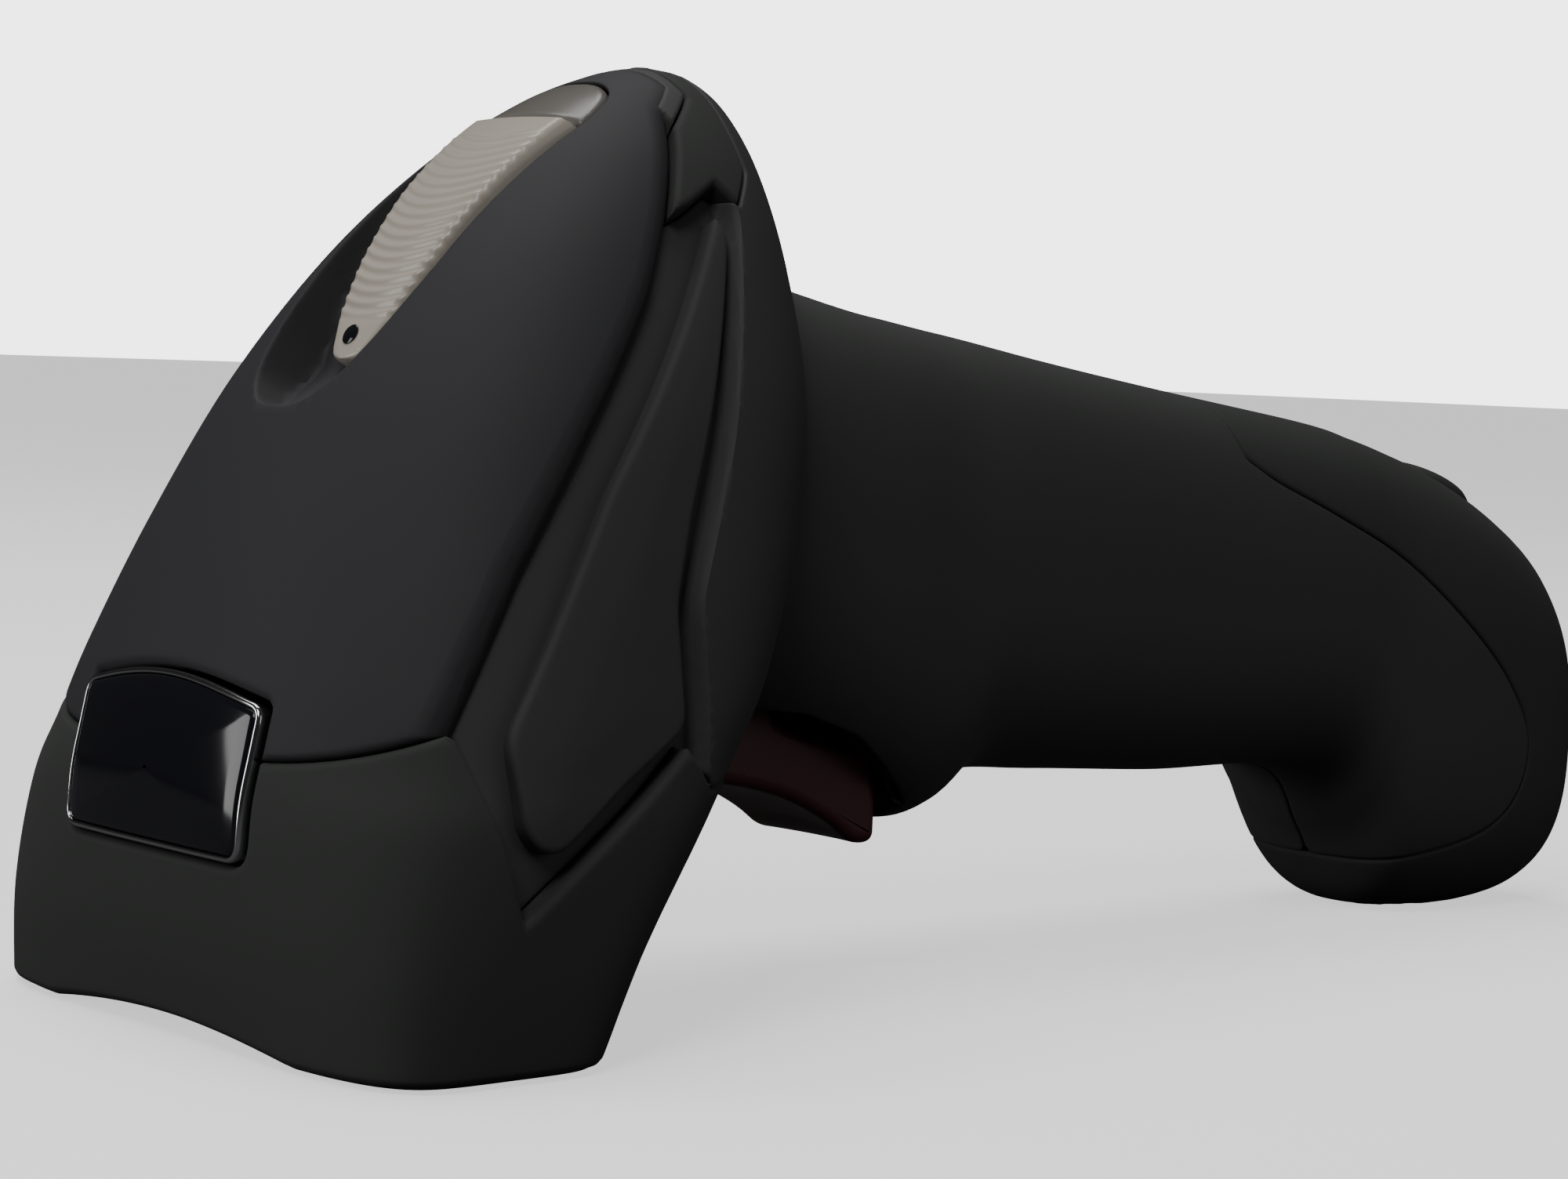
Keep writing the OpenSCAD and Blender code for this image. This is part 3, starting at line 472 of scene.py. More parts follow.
# ---------------------------------------------------------------- materials


def grain_group():
    """Shader group: fine moulded grain as a normal, and a slow mottling from 0 to 1."""
    old = bpy.data.node_groups.get("Moulded grain")
    if old:
        return old
    g = bpy.data.node_groups.new("Moulded grain", "ShaderNodeTree")
    g.interface.new_socket("Scale", in_out="INPUT", socket_type="NodeSocketFloat")
    g.interface.new_socket("Strength", in_out="INPUT", socket_type="NodeSocketFloat")
    g.interface.new_socket("Normal", in_out="OUTPUT", socket_type="NodeSocketVector")
    g.interface.new_socket("Mottle", in_out="OUTPUT", socket_type="NodeSocketFloat")
    n, link = g.nodes, g.links.new
    put, out = n.new("NodeGroupInput"), n.new("NodeGroupOutput")
    where = n.new("ShaderNodeTexCoord")
    fine, slow = n.new("ShaderNodeTexNoise"), n.new("ShaderNodeTexNoise")
    slow.inputs["Scale"].default_value = 60
    slow.inputs["Detail"].default_value = 4
    fine.inputs["Detail"].default_value = 3
    bump = n.new("ShaderNodeBump")
    bump.inputs["Distance"].default_value = 0.0002
    link(where.outputs["Object"], fine.inputs["Vector"])
    link(where.outputs["Object"], slow.inputs["Vector"])
    link(put.outputs["Scale"], fine.inputs["Scale"])
    link(put.outputs["Strength"], bump.inputs["Strength"])
    link(fine.outputs["Fac"], bump.inputs["Height"])
    link(bump.outputs["Normal"], out.inputs["Normal"])
    link(slow.outputs["Fac"], out.inputs["Mottle"])
    return g


def material(name, colour, rough, grain=(3000.0, 0.15), metal=0.0, coat=0.0, trans=0.0,
             vary=0.04, sub=0.0, spec=0.5, glow=0.0):
    """A procedural material: a base colour and roughness that vary slightly, with grain."""
    old = bpy.data.materials.get(name)
    if old:
        return old
    m = bpy.data.materials.new(name)
    m.use_nodes = True
    n, link = m.node_tree.nodes, m.node_tree.links.new
    shader = n["Principled BSDF"]
    shader.inputs["Metallic"].default_value = metal
    shader.inputs["Coat Weight"].default_value = coat
    shader.inputs["Coat Roughness"].default_value = 0.08
    shader.inputs["Transmission Weight"].default_value = trans
    shader.inputs["Subsurface Weight"].default_value = sub
    shader.inputs["Subsurface Scale"].default_value = 0.002
    shader.inputs["Specular IOR Level"].default_value = spec
    # A glow is painted light: an emission that makes the part look brighter, though it is no lamp.
    if glow:
        shader.inputs["Emission Color"].default_value = (*colour, 1)
        shader.inputs["Emission Strength"].default_value = glow
    g = n.new("ShaderNodeGroup")
    g.node_tree = grain_group()
    g.inputs["Scale"].default_value = grain[0]
    g.inputs["Strength"].default_value = grain[1]
    link(g.outputs["Normal"], shader.inputs["Normal"])
    tint = n.new("ShaderNodeMix")
    tint.data_type = "RGBA"
    tint.inputs["A"].default_value = (*[c * (1 - vary * 2) for c in colour], 1)
    tint.inputs["B"].default_value = (*[min(1, c * (1 + vary * 2)) for c in colour], 1)
    link(g.outputs["Mottle"], tint.inputs["Factor"])
    link(tint.outputs["Result"], shader.inputs["Base Color"])
    band = n.new("ShaderNodeMapRange")
    band.inputs["To Min"].default_value = max(0.0, rough * (1 - vary * 2))
    band.inputs["To Max"].default_value = min(1.0, rough * (1 + vary * 2))
    link(g.outputs["Mottle"], band.inputs["Value"])
    link(band.outputs["Result"], shader.inputs["Roughness"])
    return m


LOOKS = {
    "cover_black": dict(colour=(0.0014, 0.0014, 0.0014), rough=0.27, grain=(5200, 0.1), spec=0.16),
    "case_gray": dict(colour=(0.0013, 0.0014, 0.0013), rough=0.42, grain=(5200, 0.14), spec=0.06),
    "soft_rubber": dict(colour=(0.009, 0.0095, 0.0092), rough=0.55, grain=(6500, 0.18), spec=0.12),
    "plate_rubber": dict(colour=(0.0115, 0.0122, 0.0122), rough=0.58, grain=(6500, 0.18),
                         spec=0.12),
    # The light bar's glow is painted light: it is no lamp, the emission only brightens it.
    "bar_diffuser": dict(colour=(0.82, 0.74, 0.63), rough=0.34, grain=(900, 0.05), trans=0.05,
                         sub=0.2, vary=0.06, glow=0.35),
    "cap_gray": dict(colour=(0.2, 0.18, 0.155), rough=0.34, grain=(900, 0.04), trans=0.05,
                     spec=0.3),
    "badge_chrome": dict(colour=(0.4, 0.4, 0.41), rough=0.2, grain=(2500, 0.02), metal=1.0),
    "badge_black": dict(colour=(0.0008, 0.0008, 0.0009), rough=0.14, grain=(900, 0.01), coat=0.1,
                        spec=0.2),
    "trigger_maroon": dict(colour=(0.11, 0.025, 0.031), rough=0.36, grain=(4200, 0.1),
                           spec=0.25),
    "hood_black": dict(colour=(0.008, 0.008, 0.008), rough=0.6, grain=(4200, 0.2)),
    "seal_rubber": dict(colour=(0.01, 0.01, 0.01), rough=0.75),
    "window_red": dict(colour=(0.22, 0.02, 0.03), rough=0.05, grain=(900, 0.0), trans=0.75),
    "inner_plastic": dict(colour=(0.04, 0.04, 0.043), rough=0.5),
    "lens_glass": dict(colour=(0.25, 0.3, 0.45), rough=0.04, grain=(900, 0.0), trans=0.9),
    "led_clear": dict(colour=(0.8, 0.76, 0.6), rough=0.2, trans=0.3),
    "board_green": dict(colour=(0.01, 0.09, 0.035), rough=0.4),
    "flex_amber": dict(colour=(0.4, 0.17, 0.03), rough=0.35),
    "chip_black": dict(colour=(0.012, 0.012, 0.012), rough=0.5),
    "shield_steel": dict(colour=(0.5, 0.5, 0.5), rough=0.35, metal=1.0),
    "pin_steel": dict(colour=(0.5, 0.5, 0.52), rough=0.3, metal=1.0),
    "plunger_white": dict(colour=(0.7, 0.7, 0.66), rough=0.4),
    "cell_wrap": dict(colour=(0.03, 0.12, 0.28), rough=0.3),
    "lead_red": dict(colour=(0.25, 0.015, 0.015), rough=0.5),
    "contact_brass": dict(colour=(0.7, 0.48, 0.18), rough=0.28, metal=1.0),
}


SET_COLOURS = {"cover_black": "cover", "soft_rubber": "rubber", "trigger_maroon": "trigger",
               "bar_diffuser": "bar"}


def look(name):
    facts = dict(LOOKS[name])
    if name in SET_COLOURS:
        facts["colour"] = tuple(getattr(bpy.context.scene.scanner, SET_COLOURS[name]))
    return material(name, **facts)


# ---------------------------------------------------------------- pieces


class Masters:
    head = None
    grip = None


def masters():
    if Masters.head is None:
        Masters.head, Masters.grip = head_master(), grip_master()
    return Masters.head, Masters.grip


def build_cover():
    head, _ = masters()
    r = bpy.context.scene.scanner.edge_round / MM
    edges = ((COVER_SIDE, r), (COVER_FRONT, 0.6), (outside(badge_field(0.95)), 0.8))

    def dish(p):
        d = recess_field(p)
        x, z = level_of(p)
        front = np.clip((x + 1.9) / 7.7, 0, 1) ** 1.4
        floor = (bar_top(np.minimum(x, -1.9)) - 1.9) * (1 - front) + 25.2 * front
        floor = np.where(x < BAR_SPLIT - 0.4, z - 2.2, floor)
        wall = np.where(d < 0.25, d * d / 0.5, d - 0.125) * 3.4
        return np.where(d > 0, np.clip(np.minimum(z - floor, wall), 0, None), 0)

    sheet = head
    for level in (0, 0.12, 0.24, 0.36, 0.6, 0.9, 1.2, 1.5, 1.8, 2.1, 2.6, 3.2):
        sheet = sheet.cut(recess_field, level)
    for field, radius in edges:
        for k in ROLL:
            sheet = sheet.cut(field, k * radius)
        sheet = sheet.keep(field)
    p0 = sheet.p.copy()
    sheet = sheet.moved(np.max([roll_in(f(p0), radius) for f, radius in edges], axis=0))
    drop = dish(p0)
    s, c = math.sin(LEAN), math.cos(LEAN)
    sheet.p = sheet.p + np.stack([c * drop, 0 * drop, -s * drop], 1)
    finish_piece(mesh_object("Top_cover", sheet.rimmed(CHANNEL + 0.3, 2), sharp=50), "top_cover",
                 "cover_black", look("cover_black"))


def build_bumpers():
    head, _ = masters()
    badge = badge_field(0.95)
    field = both(BUMPER_ZONE, outside(badge))
    sheet = piece_sheet(head, field, r=0.7, drop=CHANNEL + 0.2,
                        cuts=[(lambda p: p[:, 2], (0.35, 0.9, 1.6))])
    low = np.clip(1.0 - sheet.p[:, 2], 0, 1.0)
    inner = sheet.n * [1, 1, 0]
    tucked = np.arange(len(sheet.p)) >= sheet.open_at
    sheet.p[tucked & (sheet.p[:, 2] < 0.5), 2] += 0.8
    sheet.p = sheet.p - inner * (1.0 - np.sqrt(np.maximum(1.0 - low ** 2, 0)))[:, None]
    # the rim turns in under the nose
    a = np.radians(180 + np.linspace(0, 360, 1441)[:-1])
    base = even_ring(head_ring(rows_at(HEAD, [0])[0], a), 232)
    centre = base.mean(0)
    tangent = np.roll(base, -1, 0) - np.roll(base, 1, 0)
    out = np.stack([-tangent[:, 1], tangent[:, 0], 0 * tangent[:, 0]], 1)
    out /= np.linalg.norm(out, axis=1, keepdims=True)
    if ((base - centre) * out).sum() < 0:
        out = -out
    rings = [base - out * k + [0, 0, h] for k, h in
             ((0.9, 0.0), (1.4, 0.0), (4.2, 0.0), (4.8, 0.15), (5.05, 0.5), (5.1, 1.55))]
    inner_rim = grid_sheet(np.array(rings), -1)
    for part in (sheet, inner_rim):
        part.p[:, 2] += arch(part.p)
    finish_piece(mesh_object("Nose_bumper", [sheet, inner_rim], sharp=50), "nose_bumper",
                 "soft_rubber", look("soft_rubber"))
    tail = piece_sheet(head, TAIL_ZONE, r=0.6, drop=CHANNEL + 0.2)
    finish_piece(mesh_object("Rear_bumper", tail, sharp=50), "rear_bumper", "soft_rubber",
                 look("soft_rubber"))


def build_side_plates():
    head, _ = masters()
    for sign, node in ((-1, "side_plate_left"), (1, "side_plate_right")):
        field = both(lambda p: PLATE_ZONE(p) - 0.1, lambda p, s=sign: s * p[:, 1] - 2)

        def dome(p):
            return 0.25 - 0.25 * np.clip(PLATE_ZONE(p) / 5, 0, 1)
        sheet = piece_sheet(head, field, r=0.6, drop=CHANNEL + 0.3, extra=dome)
        finish_piece(mesh_object(f"Side_plate_{node[11:]}", sheet, sharp=50), node, "plate_rubber",
                     look("plate_rubber"))


def build_body():
    head, grip = masters()
    holes = [lambda p, c=c: np.where(p[:, 1] > 0, 2.5 - np.hypot(p[:, 0] - c[0], p[:, 2] - c[1]), -9)
             for c in SCREWS]
    head_zone = both(outside(COVER_ZONE, -1.6), outside(BUMPER_ZONE, 0.12),
                     outside(TAIL_ZONE, 0.12))
    grip_zone = both(outside(BOOT_ZONE, 0.12), outside(POCKET_ZONE))

    def channel(p):
        d = np.clip(CHANNEL_ZONE(p) / 1.1, 0, 1)
        return CHANNEL * d * d * (3 - 2 * d)
    for sign, node in ((-1, "body_left"), (1, "body_right")):
        mine = [outside(h) for h in holes] if sign > 0 else []
        parts = []
        f = both(head_zone, half(sign), *mine)
        parts.append(piece_sheet(head, f, r=0.3, drop=1.6, extra=channel,
                                 cuts=[(CHANNEL_ZONE, (0, 0.3, 0.6, 0.9, 1.1))]))
        f = both(grip_zone, half(sign), *mine)
        parts.append(piece_sheet(grip, f, r=0.35, drop=1.9))
        parts.append(pocket_floor(sign))
        finish_piece(mesh_object(f"Body_{node[5:]}", parts, sharp=50), node, "case_gray",
                     look("case_gray"))


def pocket_floor(sign):
    """The ledge beside the trigger, inside the edge of its pocket."""
    line = closed_curve(POCKET + [[66.5, 40], [39, 40]], 6)[:25]
    line = line + [0.15, 0.9]
    out = []
    for x, z in line:
        row = grip_ring(rows_at(GRIP, [np.interp(x, GRIP[:, 0], np.arange(len(GRIP)))])[0],
                        np.radians(np.linspace(180, 360, 181)))
        lower = row[row[:, 1] < 0]
        near = lower[np.argmin(np.abs(lower[:, 2] - z))]
        w = max(abs(near[1]) - 0.5, 8.6)
        out.append([[x, sign * 8.45, z + 4], [x, sign * 8.45, z + 0.4], [x, sign * 8.8, z],
                    [x, sign * w, z]])
    grid = np.array(out)
    n = len(line)
    faces = []
    for i in range(n - 1):
        for j in range(3):
            f = (i * 4 + j, i * 4 + j + 1, (i + 1) * 4 + j + 1, (i + 1) * 4 + j)
            faces.append(f if sign > 0 else f[::-1])
    p = grid.reshape(-1, 3)
    return Sheet(p, np.tile([0.0, 0.0, -1.0], (len(p), 1)), faces)


def build_boot():
    _, grip = masters()
    hx, hz, tilt, hr = HEEL
    axis = np.array([math.sin(tilt), 0, math.cos(tilt)])

    def heel(p):
        rel = p - [hx, 0, hz]
        along = rel @ axis
        return np.where(np.abs(along) < 6,
                        hr + 0.15 - np.linalg.norm(rel - along[:, None] * axis, axis=1), -9)

    socket = inside(rounded([[-SOCKET[1] / 2, SOCKET[0] - SOCKET[2] / 2],
                             [SOCKET[1] / 2, SOCKET[0] - SOCKET[2] / 2],
                             [SOCKET[1] / 2, SOCKET[0] + SOCKET[2] / 2],
                             [-SOCKET[1] / 2, SOCKET[0] + SOCKET[2] / 2]], 0.6))

    def mouth(p):
        return np.where(p[:, 0] > 165, socket(p[:, [1, 2]]) + 0.1, -9)
    cap = grip.faces[-1]
    lid = even_lid(grip, cap)
    master = Sheet(lid.p, lid.n, lid.faces)
    field = both(BOOT_ZONE, outside(heel), outside(mouth))
    sheet = piece_sheet(master, field, r=0.45, drop=1.5)
    finish_piece(mesh_object("Grip_boot", sheet, sharp=50), "grip_boot", "soft_rubber",
                 look("soft_rubber"))
    # the round cap at the heel
    turns = 72
    profile = [(0, 1.15), (3.2, 1.12), (5.2, 0.95), (5.9, 0.7), (6.3, 0.3), (6.5, -0.2),
               (6.55, -1.6)]
    rings = []
    for rr, h in profile[::-1]:
        t = np.radians(np.linspace(0, 360, turns + 1)[:-1])
        u = np.array([math.cos(tilt), 0, -math.sin(tilt)])
        v = np.array([0, 1.0, 0])
        rings.append(np.array([hx, 0, hz]) + axis * h
                     + max(rr, 0.02) * (np.cos(t)[:, None] * u + np.sin(t)[:, None] * v))
    cap_sheet = grid_sheet(np.array(rings))
    finish_piece(mesh_object("Heel_cap", cap_sheet, sharp=60), "heel_cap", "soft_rubber",
                 look("soft_rubber"))


def even_lid(sheet, lid):
    """Fills the end face with rings, so that a hole can be cut in it."""
    faces = [f for f in sheet.faces if f is not lid]
    ring = sheet.p[list(lid)]
    centre = ring.mean(0)
    points, normals = [sheet.p], [sheet.n]
    last, total = list(lid), len(sheet.p)
    out = np.array([1.0, 0, 0])
    for k in np.linspace(0.88, 0.06, 14):
        bulge = 0.25 * (1 - k)
        points.append(centre + (ring - centre) * k + out * bulge)
        normals.append(np.tile(out, (len(ring), 1)))
        now = list(range(total, total + len(ring)))
        for j in range(len(ring)):
            i = (j + 1) % len(ring)
            faces.append((last[j], last[i], now[i], now[j]))
        last = now
        total += len(ring)
    faces.append(tuple(last))
    return Sheet(np.vstack(points), np.vstack(normals), faces)


def front_at(y, z, high):
    """Points high above the front of the head, at places y across it and z up it."""
    s = np.linspace(0, len(HEAD) - 1, 600)
    rows = rows_at(HEAD, s)

    def surface(y, z):
        front, back, wide, n = (np.interp(z, rows[:, 0], rows[:, k]) for k in (1, 2, 3, 4))
        share = np.maximum(1 - np.abs(y / wide) ** n, 0) ** (1 / n)
        return (front + back) / 2 - (back - front) / 2 * share
    x, e = surface(y, z), 0.05
    n = np.stack([-np.ones_like(y), (surface(y + e, z) - surface(y - e, z)) / (2 * e),
                  (surface(y, z + e) - surface(y, z - e)) / (2 * e)], 1)
    n /= np.linalg.norm(n, axis=1, keepdims=True)
    return np.stack([x, y, z], 1) + n * high


def build_badge():
    w, h, mid = BADGE
    arch_line = [[k * w / 2, h / 2 + 1.9 * math.cos(k * math.pi / 2)] for k in np.linspace(1, -1, 15)]
    line = even_outline(rounded([[-w / 2, -h / 2], [w / 2, -h / 2], *arch_line], 1.3, 9), 0.35)
    way = np.roll(line, -1, 0) - np.roll(line, 1, 0)
    out = np.stack([way[:, 1], -way[:, 0]], 1) / np.linalg.norm(way, axis=1, keepdims=True)

    def ring(grow, high, share=1.0):
        q = (line + out * grow) * share
        return front_at(q[:, 0], q[:, 1] + mid, high)
    plate = [ring(-0.05, -1.5), ring(-0.05, 0.15), ring(-0.12, 0.3), ring(-0.3, 0.42),
             ring(-0.6, 0.5)]
    plate += [ring(-0.6, 0.5 + 0.45 * (1 - k * k), k) for k in (0.9, 0.78, 0.64, 0.48, 0.32, 0.16, 0.02)]
    finish_piece(mesh_object("Badge_plate", grid_sheet(np.array(plate)), sharp=60), "badge_plate",
                 "badge_black", look("badge_black"))
    rim = [ring(0.0, -1.3), ring(0.0, 0.35), ring(0.08, 0.46), ring(0.22, 0.5), ring(0.4, 0.42),
           ring(0.52, 0.25), ring(0.56, 0.0), ring(0.56, -1.3)]
    finish_piece(mesh_object("Badge_frame", grid_sheet(np.array(rim)), sharp=60), "badge_frame",
                 "badge_chrome", look("badge_chrome"))


def build_light_bar():
    head, _ = masters()
    long, wide = 240, 36
    pitch = bpy.context.scene.scanner.rib_pitch / MM
    height = bpy.context.scene.scanner.rib_height / MM
    widths = np.array(sorted(BAR))
    x = np.concatenate([np.linspace(BAR_SPLIT + 0.15, -2.6, long), np.linspace(-2.55, -1.45, 10)])
    half_w = np.interp(x, widths[:, 0], widths[:, 1])
    half_w = np.where(x > -2.6, 2.75 * np.sqrt(np.maximum(1 - ((x + 2.6) / 1.2) ** 2, 0.02)), half_w)
    v = np.concatenate([[-1.0], np.linspace(-1, 1, wide), [1.0]])
    rows = []
    for a, w in zip(x, half_w):
        y = v * w
        edge = roll_in((1 - np.abs(v)) * w, 0.8)
        rib = height * np.sin(2 * math.pi * (a + 0.045 * y * y) / pitch)
        rib = rib * np.clip((BAR_SPLIT + 2 - a) / -1.0, 0, 1) * np.clip((-5.2 - a) / 1.5, 0, 1)
        z = bar_top(a) + 0.45 * (1 - v ** 2) - edge + rib * (np.abs(v) < 0.93)
        z[0] = z[-1] = bar_top(a) - 2.6
        rows.append(from_level(np.full_like(y, a), y, z))
    grid = np.array(rows)
    n, m, _ = grid.shape
    faces = [(i * m + j, i * m + j + 1, (i + 1) * m + j + 1, (i + 1) * m + j)
             for i in range(n - 1) for j in range(m - 1)]
    faces += [tuple(range(m))[::-1], tuple((n - 1) * m + k for k in range(m))]
    sheet = Sheet(grid.reshape(-1, 3), np.zeros((n * m, 3)), faces)
    # The light bar's material has a painted glow: an emission, though the bar is no lamp.
    finish_piece(mesh_object("Light_bar", sheet, sharp=70), "light_bar", "bar_diffuser",
                 look("bar_diffuser"))
    # the small black dot near the front of the bar
    turns = 32
    t = np.radians(np.linspace(0, 360, turns + 1)[:-1])
    top = bar_top(-3.9) + 0.5
    rings = [from_level(-3.9 + r * np.cos(t), r * np.sin(t), np.full(turns, top + h))
             for r, h in ((1.0, -0.6), (1.0, 0.05), (0.9, 0.12), (0.02, 0.14))]
    eye = grid_sheet(np.array(rings))
    dot_obj = mesh_object("Bar_sensor", eye, sharp=50)
    dot_obj.data.materials.append(look("badge_black"))
    cap = both(lambda p: recess_field(p) - 0.12, lambda p: BAR_SPLIT - 0.12 - level_of(p)[0])
    sheet = piece_sheet(head, cap, r=0.8, drop=1.6)
    finish_piece(mesh_object("Light_bar_cap", sheet, sharp=60), "light_bar_cap", "cap_gray",
                 look("cap_gray"))


def build_trigger():
    px, pz = PIVOT
    outline = [[px - 3.4, pz], [px - 3.9, 20.2], [px + 1.5, 19.3], [px + 6.5, 17.9],
               [px + 12, 15.2], [px + 15.3, 12.9], [px + 18.3, 12.9], [px + 18.3, 18.2],
               [px + 17.4, 22.8], [px + 10.2, 23.8], [px + 4, 25.8], [px + 3.3, pz],
               [px + 2, pz + 3], [px - 2, pz + 3]]
    curve = even_outline(rounded(outline, 3.0, 9), 0.35)
    n = len(curve)
    tangent = np.roll(curve, -1, 0) - np.roll(curve, 1, 0)
    normal = np.stack([tangent[:, 1], -tangent[:, 0]], 1)
    normal /= np.maximum(np.linalg.norm(normal, axis=1, keepdims=True), 1e-9)
    if ((curve - curve.mean(0)) * normal).sum() < 0:
        normal = -normal
    under = np.clip((19.5 - curve[:, 1]) / 3, 0, 1) * np.clip((px + 17 - curve[:, 0]) / 4, 0, 1)
    w, r = 8.0, 1.3
    ys = np.concatenate([-w + r * (1 - np.cos(np.linspace(0, math.pi / 2, 9))),
                         np.linspace(-w + r, w - r, 19)[1:-1],
                         w - r * (1 - np.cos(np.linspace(math.pi / 2, 0, 9)))])
    rings = []
    for y in ys:
        inset = roll_in(np.array([w - abs(y)]), r)[0]
        saddle = 0.7 * (1 - (y / w) ** 2) * under
        q = curve - normal * (inset + saddle)[:, None]
        rings.append(np.stack([q[:, 0], np.full(n, y), q[:, 1]], 1))
    sheet = grid_sheet(np.array(rings))
    sheet.faces += [tuple(range(n))[::-1], tuple(len(sheet.p) - n + k for k in range(n))]
    finish_piece(mesh_object("Trigger", sheet, "trigger", sharp=60), "trigger", "trigger_maroon",
                 look("trigger_maroon"))


def dress_frame():
    """Gives every node that stays shown the look of its slot."""
    slots = {s["node"]: s["material_slot"] for s in frame["record"]["subparts"]}
    for name, obj in NODES.items():
        mat = look(slots[name])
        obj.data.materials.clear()
        obj.data.materials.append(mat)


# ---------------------------------------------------------------- stage


def camera_to(eye, target, roll, focal_px, width_px=2000.0):
    data = bpy.data.cameras.new("Camera")
    cam = bpy.data.objects.new("Camera", data)
    bpy.context.scene.collection.objects.link(cam)
    f = (target - eye).normalized()
    right = f.cross(Vector((0, 0, 1))).normalized()
    up = right.cross(f)
    r = math.radians(roll)
    x = math.cos(r) * right + math.sin(r) * up
    y = math.cos(r) * up - math.sin(r) * right
    m = Matrix((x, y, -f)).transposed().to_4x4()
    m.translation = eye
    cam.matrix_world = m
    data.sensor_fit = "HORIZONTAL"
    data.sensor_width = 36
    data.lens = focal_px / width_px * 36
    data.clip_start, data.clip_end = 0.01, 20
    bpy.context.scene.camera = cam
    return cam


def area_light(name, place, aim, size, watts, colour=(1, 1, 1)):
    data = bpy.data.lights.new(name, "AREA")
    data.shape = "RECTANGLE"
    data.size, data.size_y = size
    data.energy = watts
    data.color = colour
    obj = bpy.data.objects.new(name, data)
    bpy.context.scene.collection.objects.link(obj)
    obj.location = place
    way = Vector(aim) - Vector(place)
    obj.rotation_mode = "QUATERNION"
    obj.rotation_quaternion = way.to_track_quat("-Z", "Y")
    return obj


def floor_material():
    """Pale paper to the camera, which throws little light back on the dark scanner."""
    m = material("Studio floor", (0.9, 0.9, 0.89), 0.8, grain=(400, 0.02), vary=0.01, spec=0.1)
    n, link = m.node_tree.nodes, m.node_tree.links.new
    pale = n["Principled BSDF"]
    pale.inputs["Emission Color"].default_value = (1, 1, 1, 1)
    pale.inputs["Emission Strength"].default_value = 0.9
    dull = n.new("ShaderNodeBsdfDiffuse")
    dull.inputs["Color"].default_value = (0.1, 0.1, 0.1, 1)
    ray, mix = n.new("ShaderNodeLightPath"), n.new("ShaderNodeMixShader")
    link(ray.outputs["Is Camera Ray"], mix.inputs["Fac"])
    link(dull.outputs[0], mix.inputs[1])
    link(pale.outputs[0], mix.inputs[2])
    link(mix.outputs[0], n["Material Output"].inputs["Surface"])
    return m


def build_stage():
    world = bpy.data.worlds.new("Studio")
    bpy.context.scene.world = world
    world.use_nodes = True
    n, link = world.node_tree.nodes, world.node_tree.links.new
    glow, paper = n["Background"], n.new("ShaderNodeBackground")
    for node, strength in ((glow, 0.02), (paper, 4.0)):
        node.inputs["Color"].default_value = (1, 1, 1, 1)
        node.inputs["Strength"].default_value = strength
    ray, mix = n.new("ShaderNodeLightPath"), n.new("ShaderNodeMixShader")
    link(ray.outputs["Is Camera Ray"], mix.inputs["Fac"])
    link(glow.outputs[0], mix.inputs[1])
    link(paper.outputs[0], mix.inputs[2])
    link(mix.outputs[0], n["World Output"].inputs["Surface"])
    floor = bpy.data.meshes.new("Floor")
    e = 6.0
    floor.from_pydata([(-e, -e, 0), (e, -e, 0), (e, e, 0), (-e, e, 0)], [], [(0, 1, 2, 3)])
    obj = bpy.data.objects.new("Floor", floor)
    obj.location = (0, 0, -0.0004)
    bpy.context.scene.collection.objects.link(obj)
    floor.materials.append(floor_material())
    light = bpy.context.scene.scanner.light
    lamps = [area_light("Key", (-0.55, -0.35, 0.75), (-0.03, 0, 0.05), (0.32, 0.5), 2.6 * light),
             area_light("Fill", (0.35, -0.8, 0.3), (0.02, 0, 0.03), (0.7, 0.5), 0.7 * light),
             area_light("Left", (-0.75, 0.35, 0.2), (-0.07, 0, 0.04), (0.3, 0.4), 1.6 * light),
             area_light("Top", (0.05, 0.25, 0.9), (0, 0, 0.04), (0.6, 0.6), 3.6 * light)]
    eye = Vector((-179.88 - MID, -273.25, 62.29)) * MM
    target = Vector((64.46 - MID, 8.6, 37.44)) * MM
    camera_to(eye, target, 2.1, 4568)


# ---------------------------------------------------------------- add-on


def colour_setting(name, slot_name):
    return bpy.props.FloatVectorProperty(
        name=name, description=f"Base colour of the {name.lower()}", subtype="COLOR", size=3,
        min=0, max=1, default=LOOKS[slot_name]["colour"])


class ScannerSettings(bpy.types.PropertyGroup):
    """Sizes and colours that a user would change"""
    rib_pitch: bpy.props.FloatProperty(
        name="Rib pitch", description="Distance between the light bar's ribs",
        default=1.25 * MM, min=0.6 * MM, max=3 * MM, unit="LENGTH")
    rib_height: bpy.props.FloatProperty(
        name="Rib height", description="How far each rib stands out of the light bar",
        default=0.10 * MM, min=0, max=0.4 * MM, unit="LENGTH")
    edge_round: bpy.props.FloatProperty(
        name="Cover edge", description="Radius of the top cover's edge",
        default=2.2 * MM, min=0.3 * MM, max=3 * MM, unit="LENGTH")
    light: bpy.props.FloatProperty(
        name="Light", description="Strength of the studio lights", default=1.0, min=0, max=10,
        subtype="FACTOR")
    cover: colour_setting("Top cover", "cover_black")
    rubber: colour_setting("Soft skin", "soft_rubber")
    trigger: colour_setting("Trigger", "trigger_maroon")
    # The light bar's colour also colours its painted glow.
    bar: colour_setting("Light bar", "bar_diffuser")


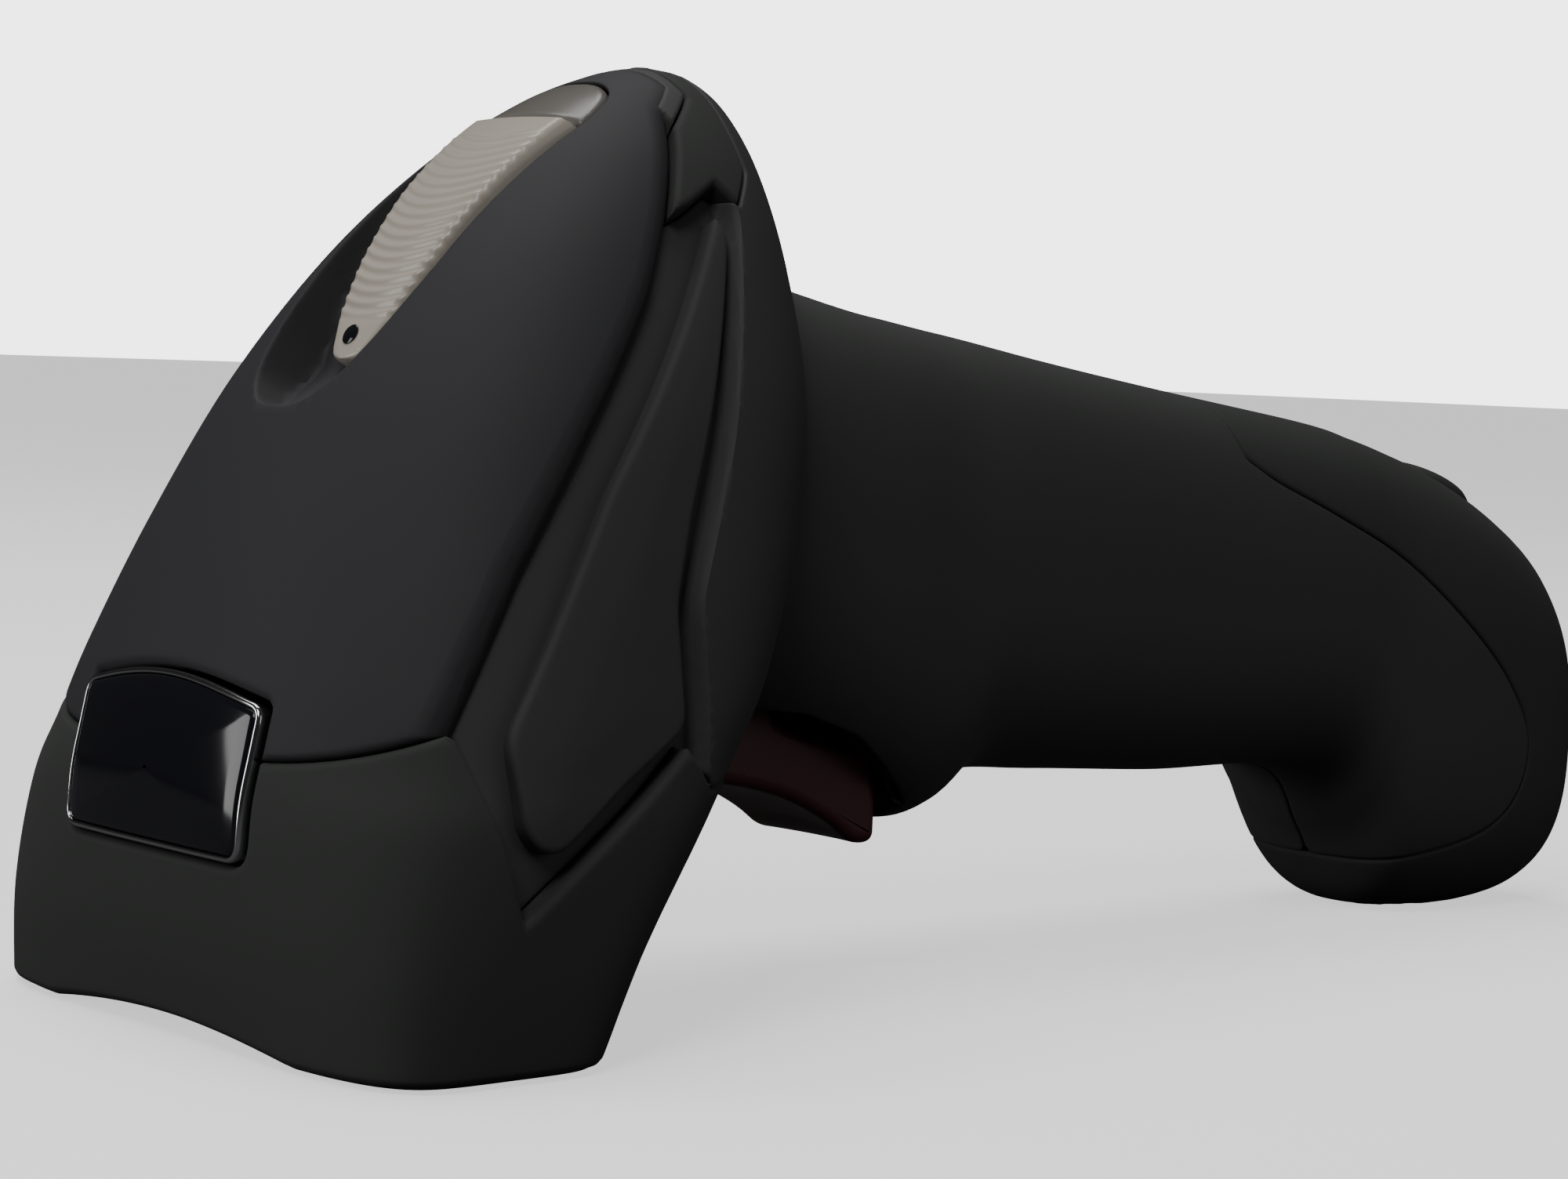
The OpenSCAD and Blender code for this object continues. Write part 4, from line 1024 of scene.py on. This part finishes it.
class SCANNER_OT_frame(bpy.types.Operator):
    """Gives the frame's nodes their materials"""
    bl_idname = "scanner.frame"
    bl_label = "Dress the frame"

    def execute(self, context):
        dress_frame()
        return {"FINISHED"}


class SCANNER_OT_cover(bpy.types.Operator):
    """Builds the top cover with the light bar's recess"""
    bl_idname = "scanner.cover"
    bl_label = "Top cover"

    def execute(self, context):
        build_cover()
        return {"FINISHED"}


class SCANNER_OT_bumpers(bpy.types.Operator):
    """Builds the soft nose and the rear bumper"""
    bl_idname = "scanner.bumpers"
    bl_label = "Bumpers"

    def execute(self, context):
        build_bumpers()
        return {"FINISHED"}


class SCANNER_OT_plates(bpy.types.Operator):
    """Builds the two side plates"""
    bl_idname = "scanner.plates"
    bl_label = "Side plates"

    def execute(self, context):
        build_side_plates()
        return {"FINISHED"}


class SCANNER_OT_body(bpy.types.Operator):
    """Builds the two halves of the case"""
    bl_idname = "scanner.body"
    bl_label = "Case halves"

    def execute(self, context):
        build_body()
        return {"FINISHED"}


class SCANNER_OT_boot(bpy.types.Operator):
    """Builds the soft boot of the grip and its round cap"""
    bl_idname = "scanner.boot"
    bl_label = "Grip boot"

    def execute(self, context):
        build_boot()
        return {"FINISHED"}


class SCANNER_OT_badge(bpy.types.Operator):
    """Builds the blank badge and its bright frame"""
    bl_idname = "scanner.badge"
    bl_label = "Badge"

    def execute(self, context):
        build_badge()
        return {"FINISHED"}


class SCANNER_OT_light_bar(bpy.types.Operator):
    """Builds the ribbed light bar and its cap"""
    bl_idname = "scanner.light_bar"
    bl_label = "Light bar"

    def execute(self, context):
        build_light_bar()
        return {"FINISHED"}


class SCANNER_OT_trigger(bpy.types.Operator):
    """Builds the trigger"""
    bl_idname = "scanner.trigger"
    bl_label = "Trigger"

    def execute(self, context):
        build_trigger()
        return {"FINISHED"}


class SCANNER_OT_stage(bpy.types.Operator):
    """Builds the floor, the lights and the camera"""
    bl_idname = "scanner.stage"
    bl_label = "Stage"

    def execute(self, context):
        build_stage()
        return {"FINISHED"}


class SCANNER_PT_panel(bpy.types.Panel):
    """Buttons that build the scanner's pieces"""
    bl_idname = "SCANNER_PT_panel"
    bl_label = "Scanner"
    bl_space_type = "VIEW_3D"
    bl_region_type = "UI"
    bl_category = "Scanner"

    def draw(self, context):
        for op in OPERATORS:
            self.layout.operator(op.bl_idname)


OPERATORS = (SCANNER_OT_frame, SCANNER_OT_cover, SCANNER_OT_bumpers, SCANNER_OT_plates,
             SCANNER_OT_body, SCANNER_OT_boot, SCANNER_OT_badge, SCANNER_OT_light_bar,
             SCANNER_OT_trigger, SCANNER_OT_stage)
CLASSES = (ScannerSettings, *OPERATORS, SCANNER_PT_panel)


def register():
    for c in CLASSES:
        bpy.utils.register_class(c)
    bpy.types.Scene.scanner = bpy.props.PointerProperty(type=ScannerSettings)


def unregister():
    del bpy.types.Scene.scanner
    for c in reversed(CLASSES):
        bpy.utils.unregister_class(c)


def main():
    register()
    for op in OPERATORS:
        group, name = op.bl_idname.split(".")
        getattr(getattr(bpy.ops, group), name)()


if __name__ == "__main__":
    main()
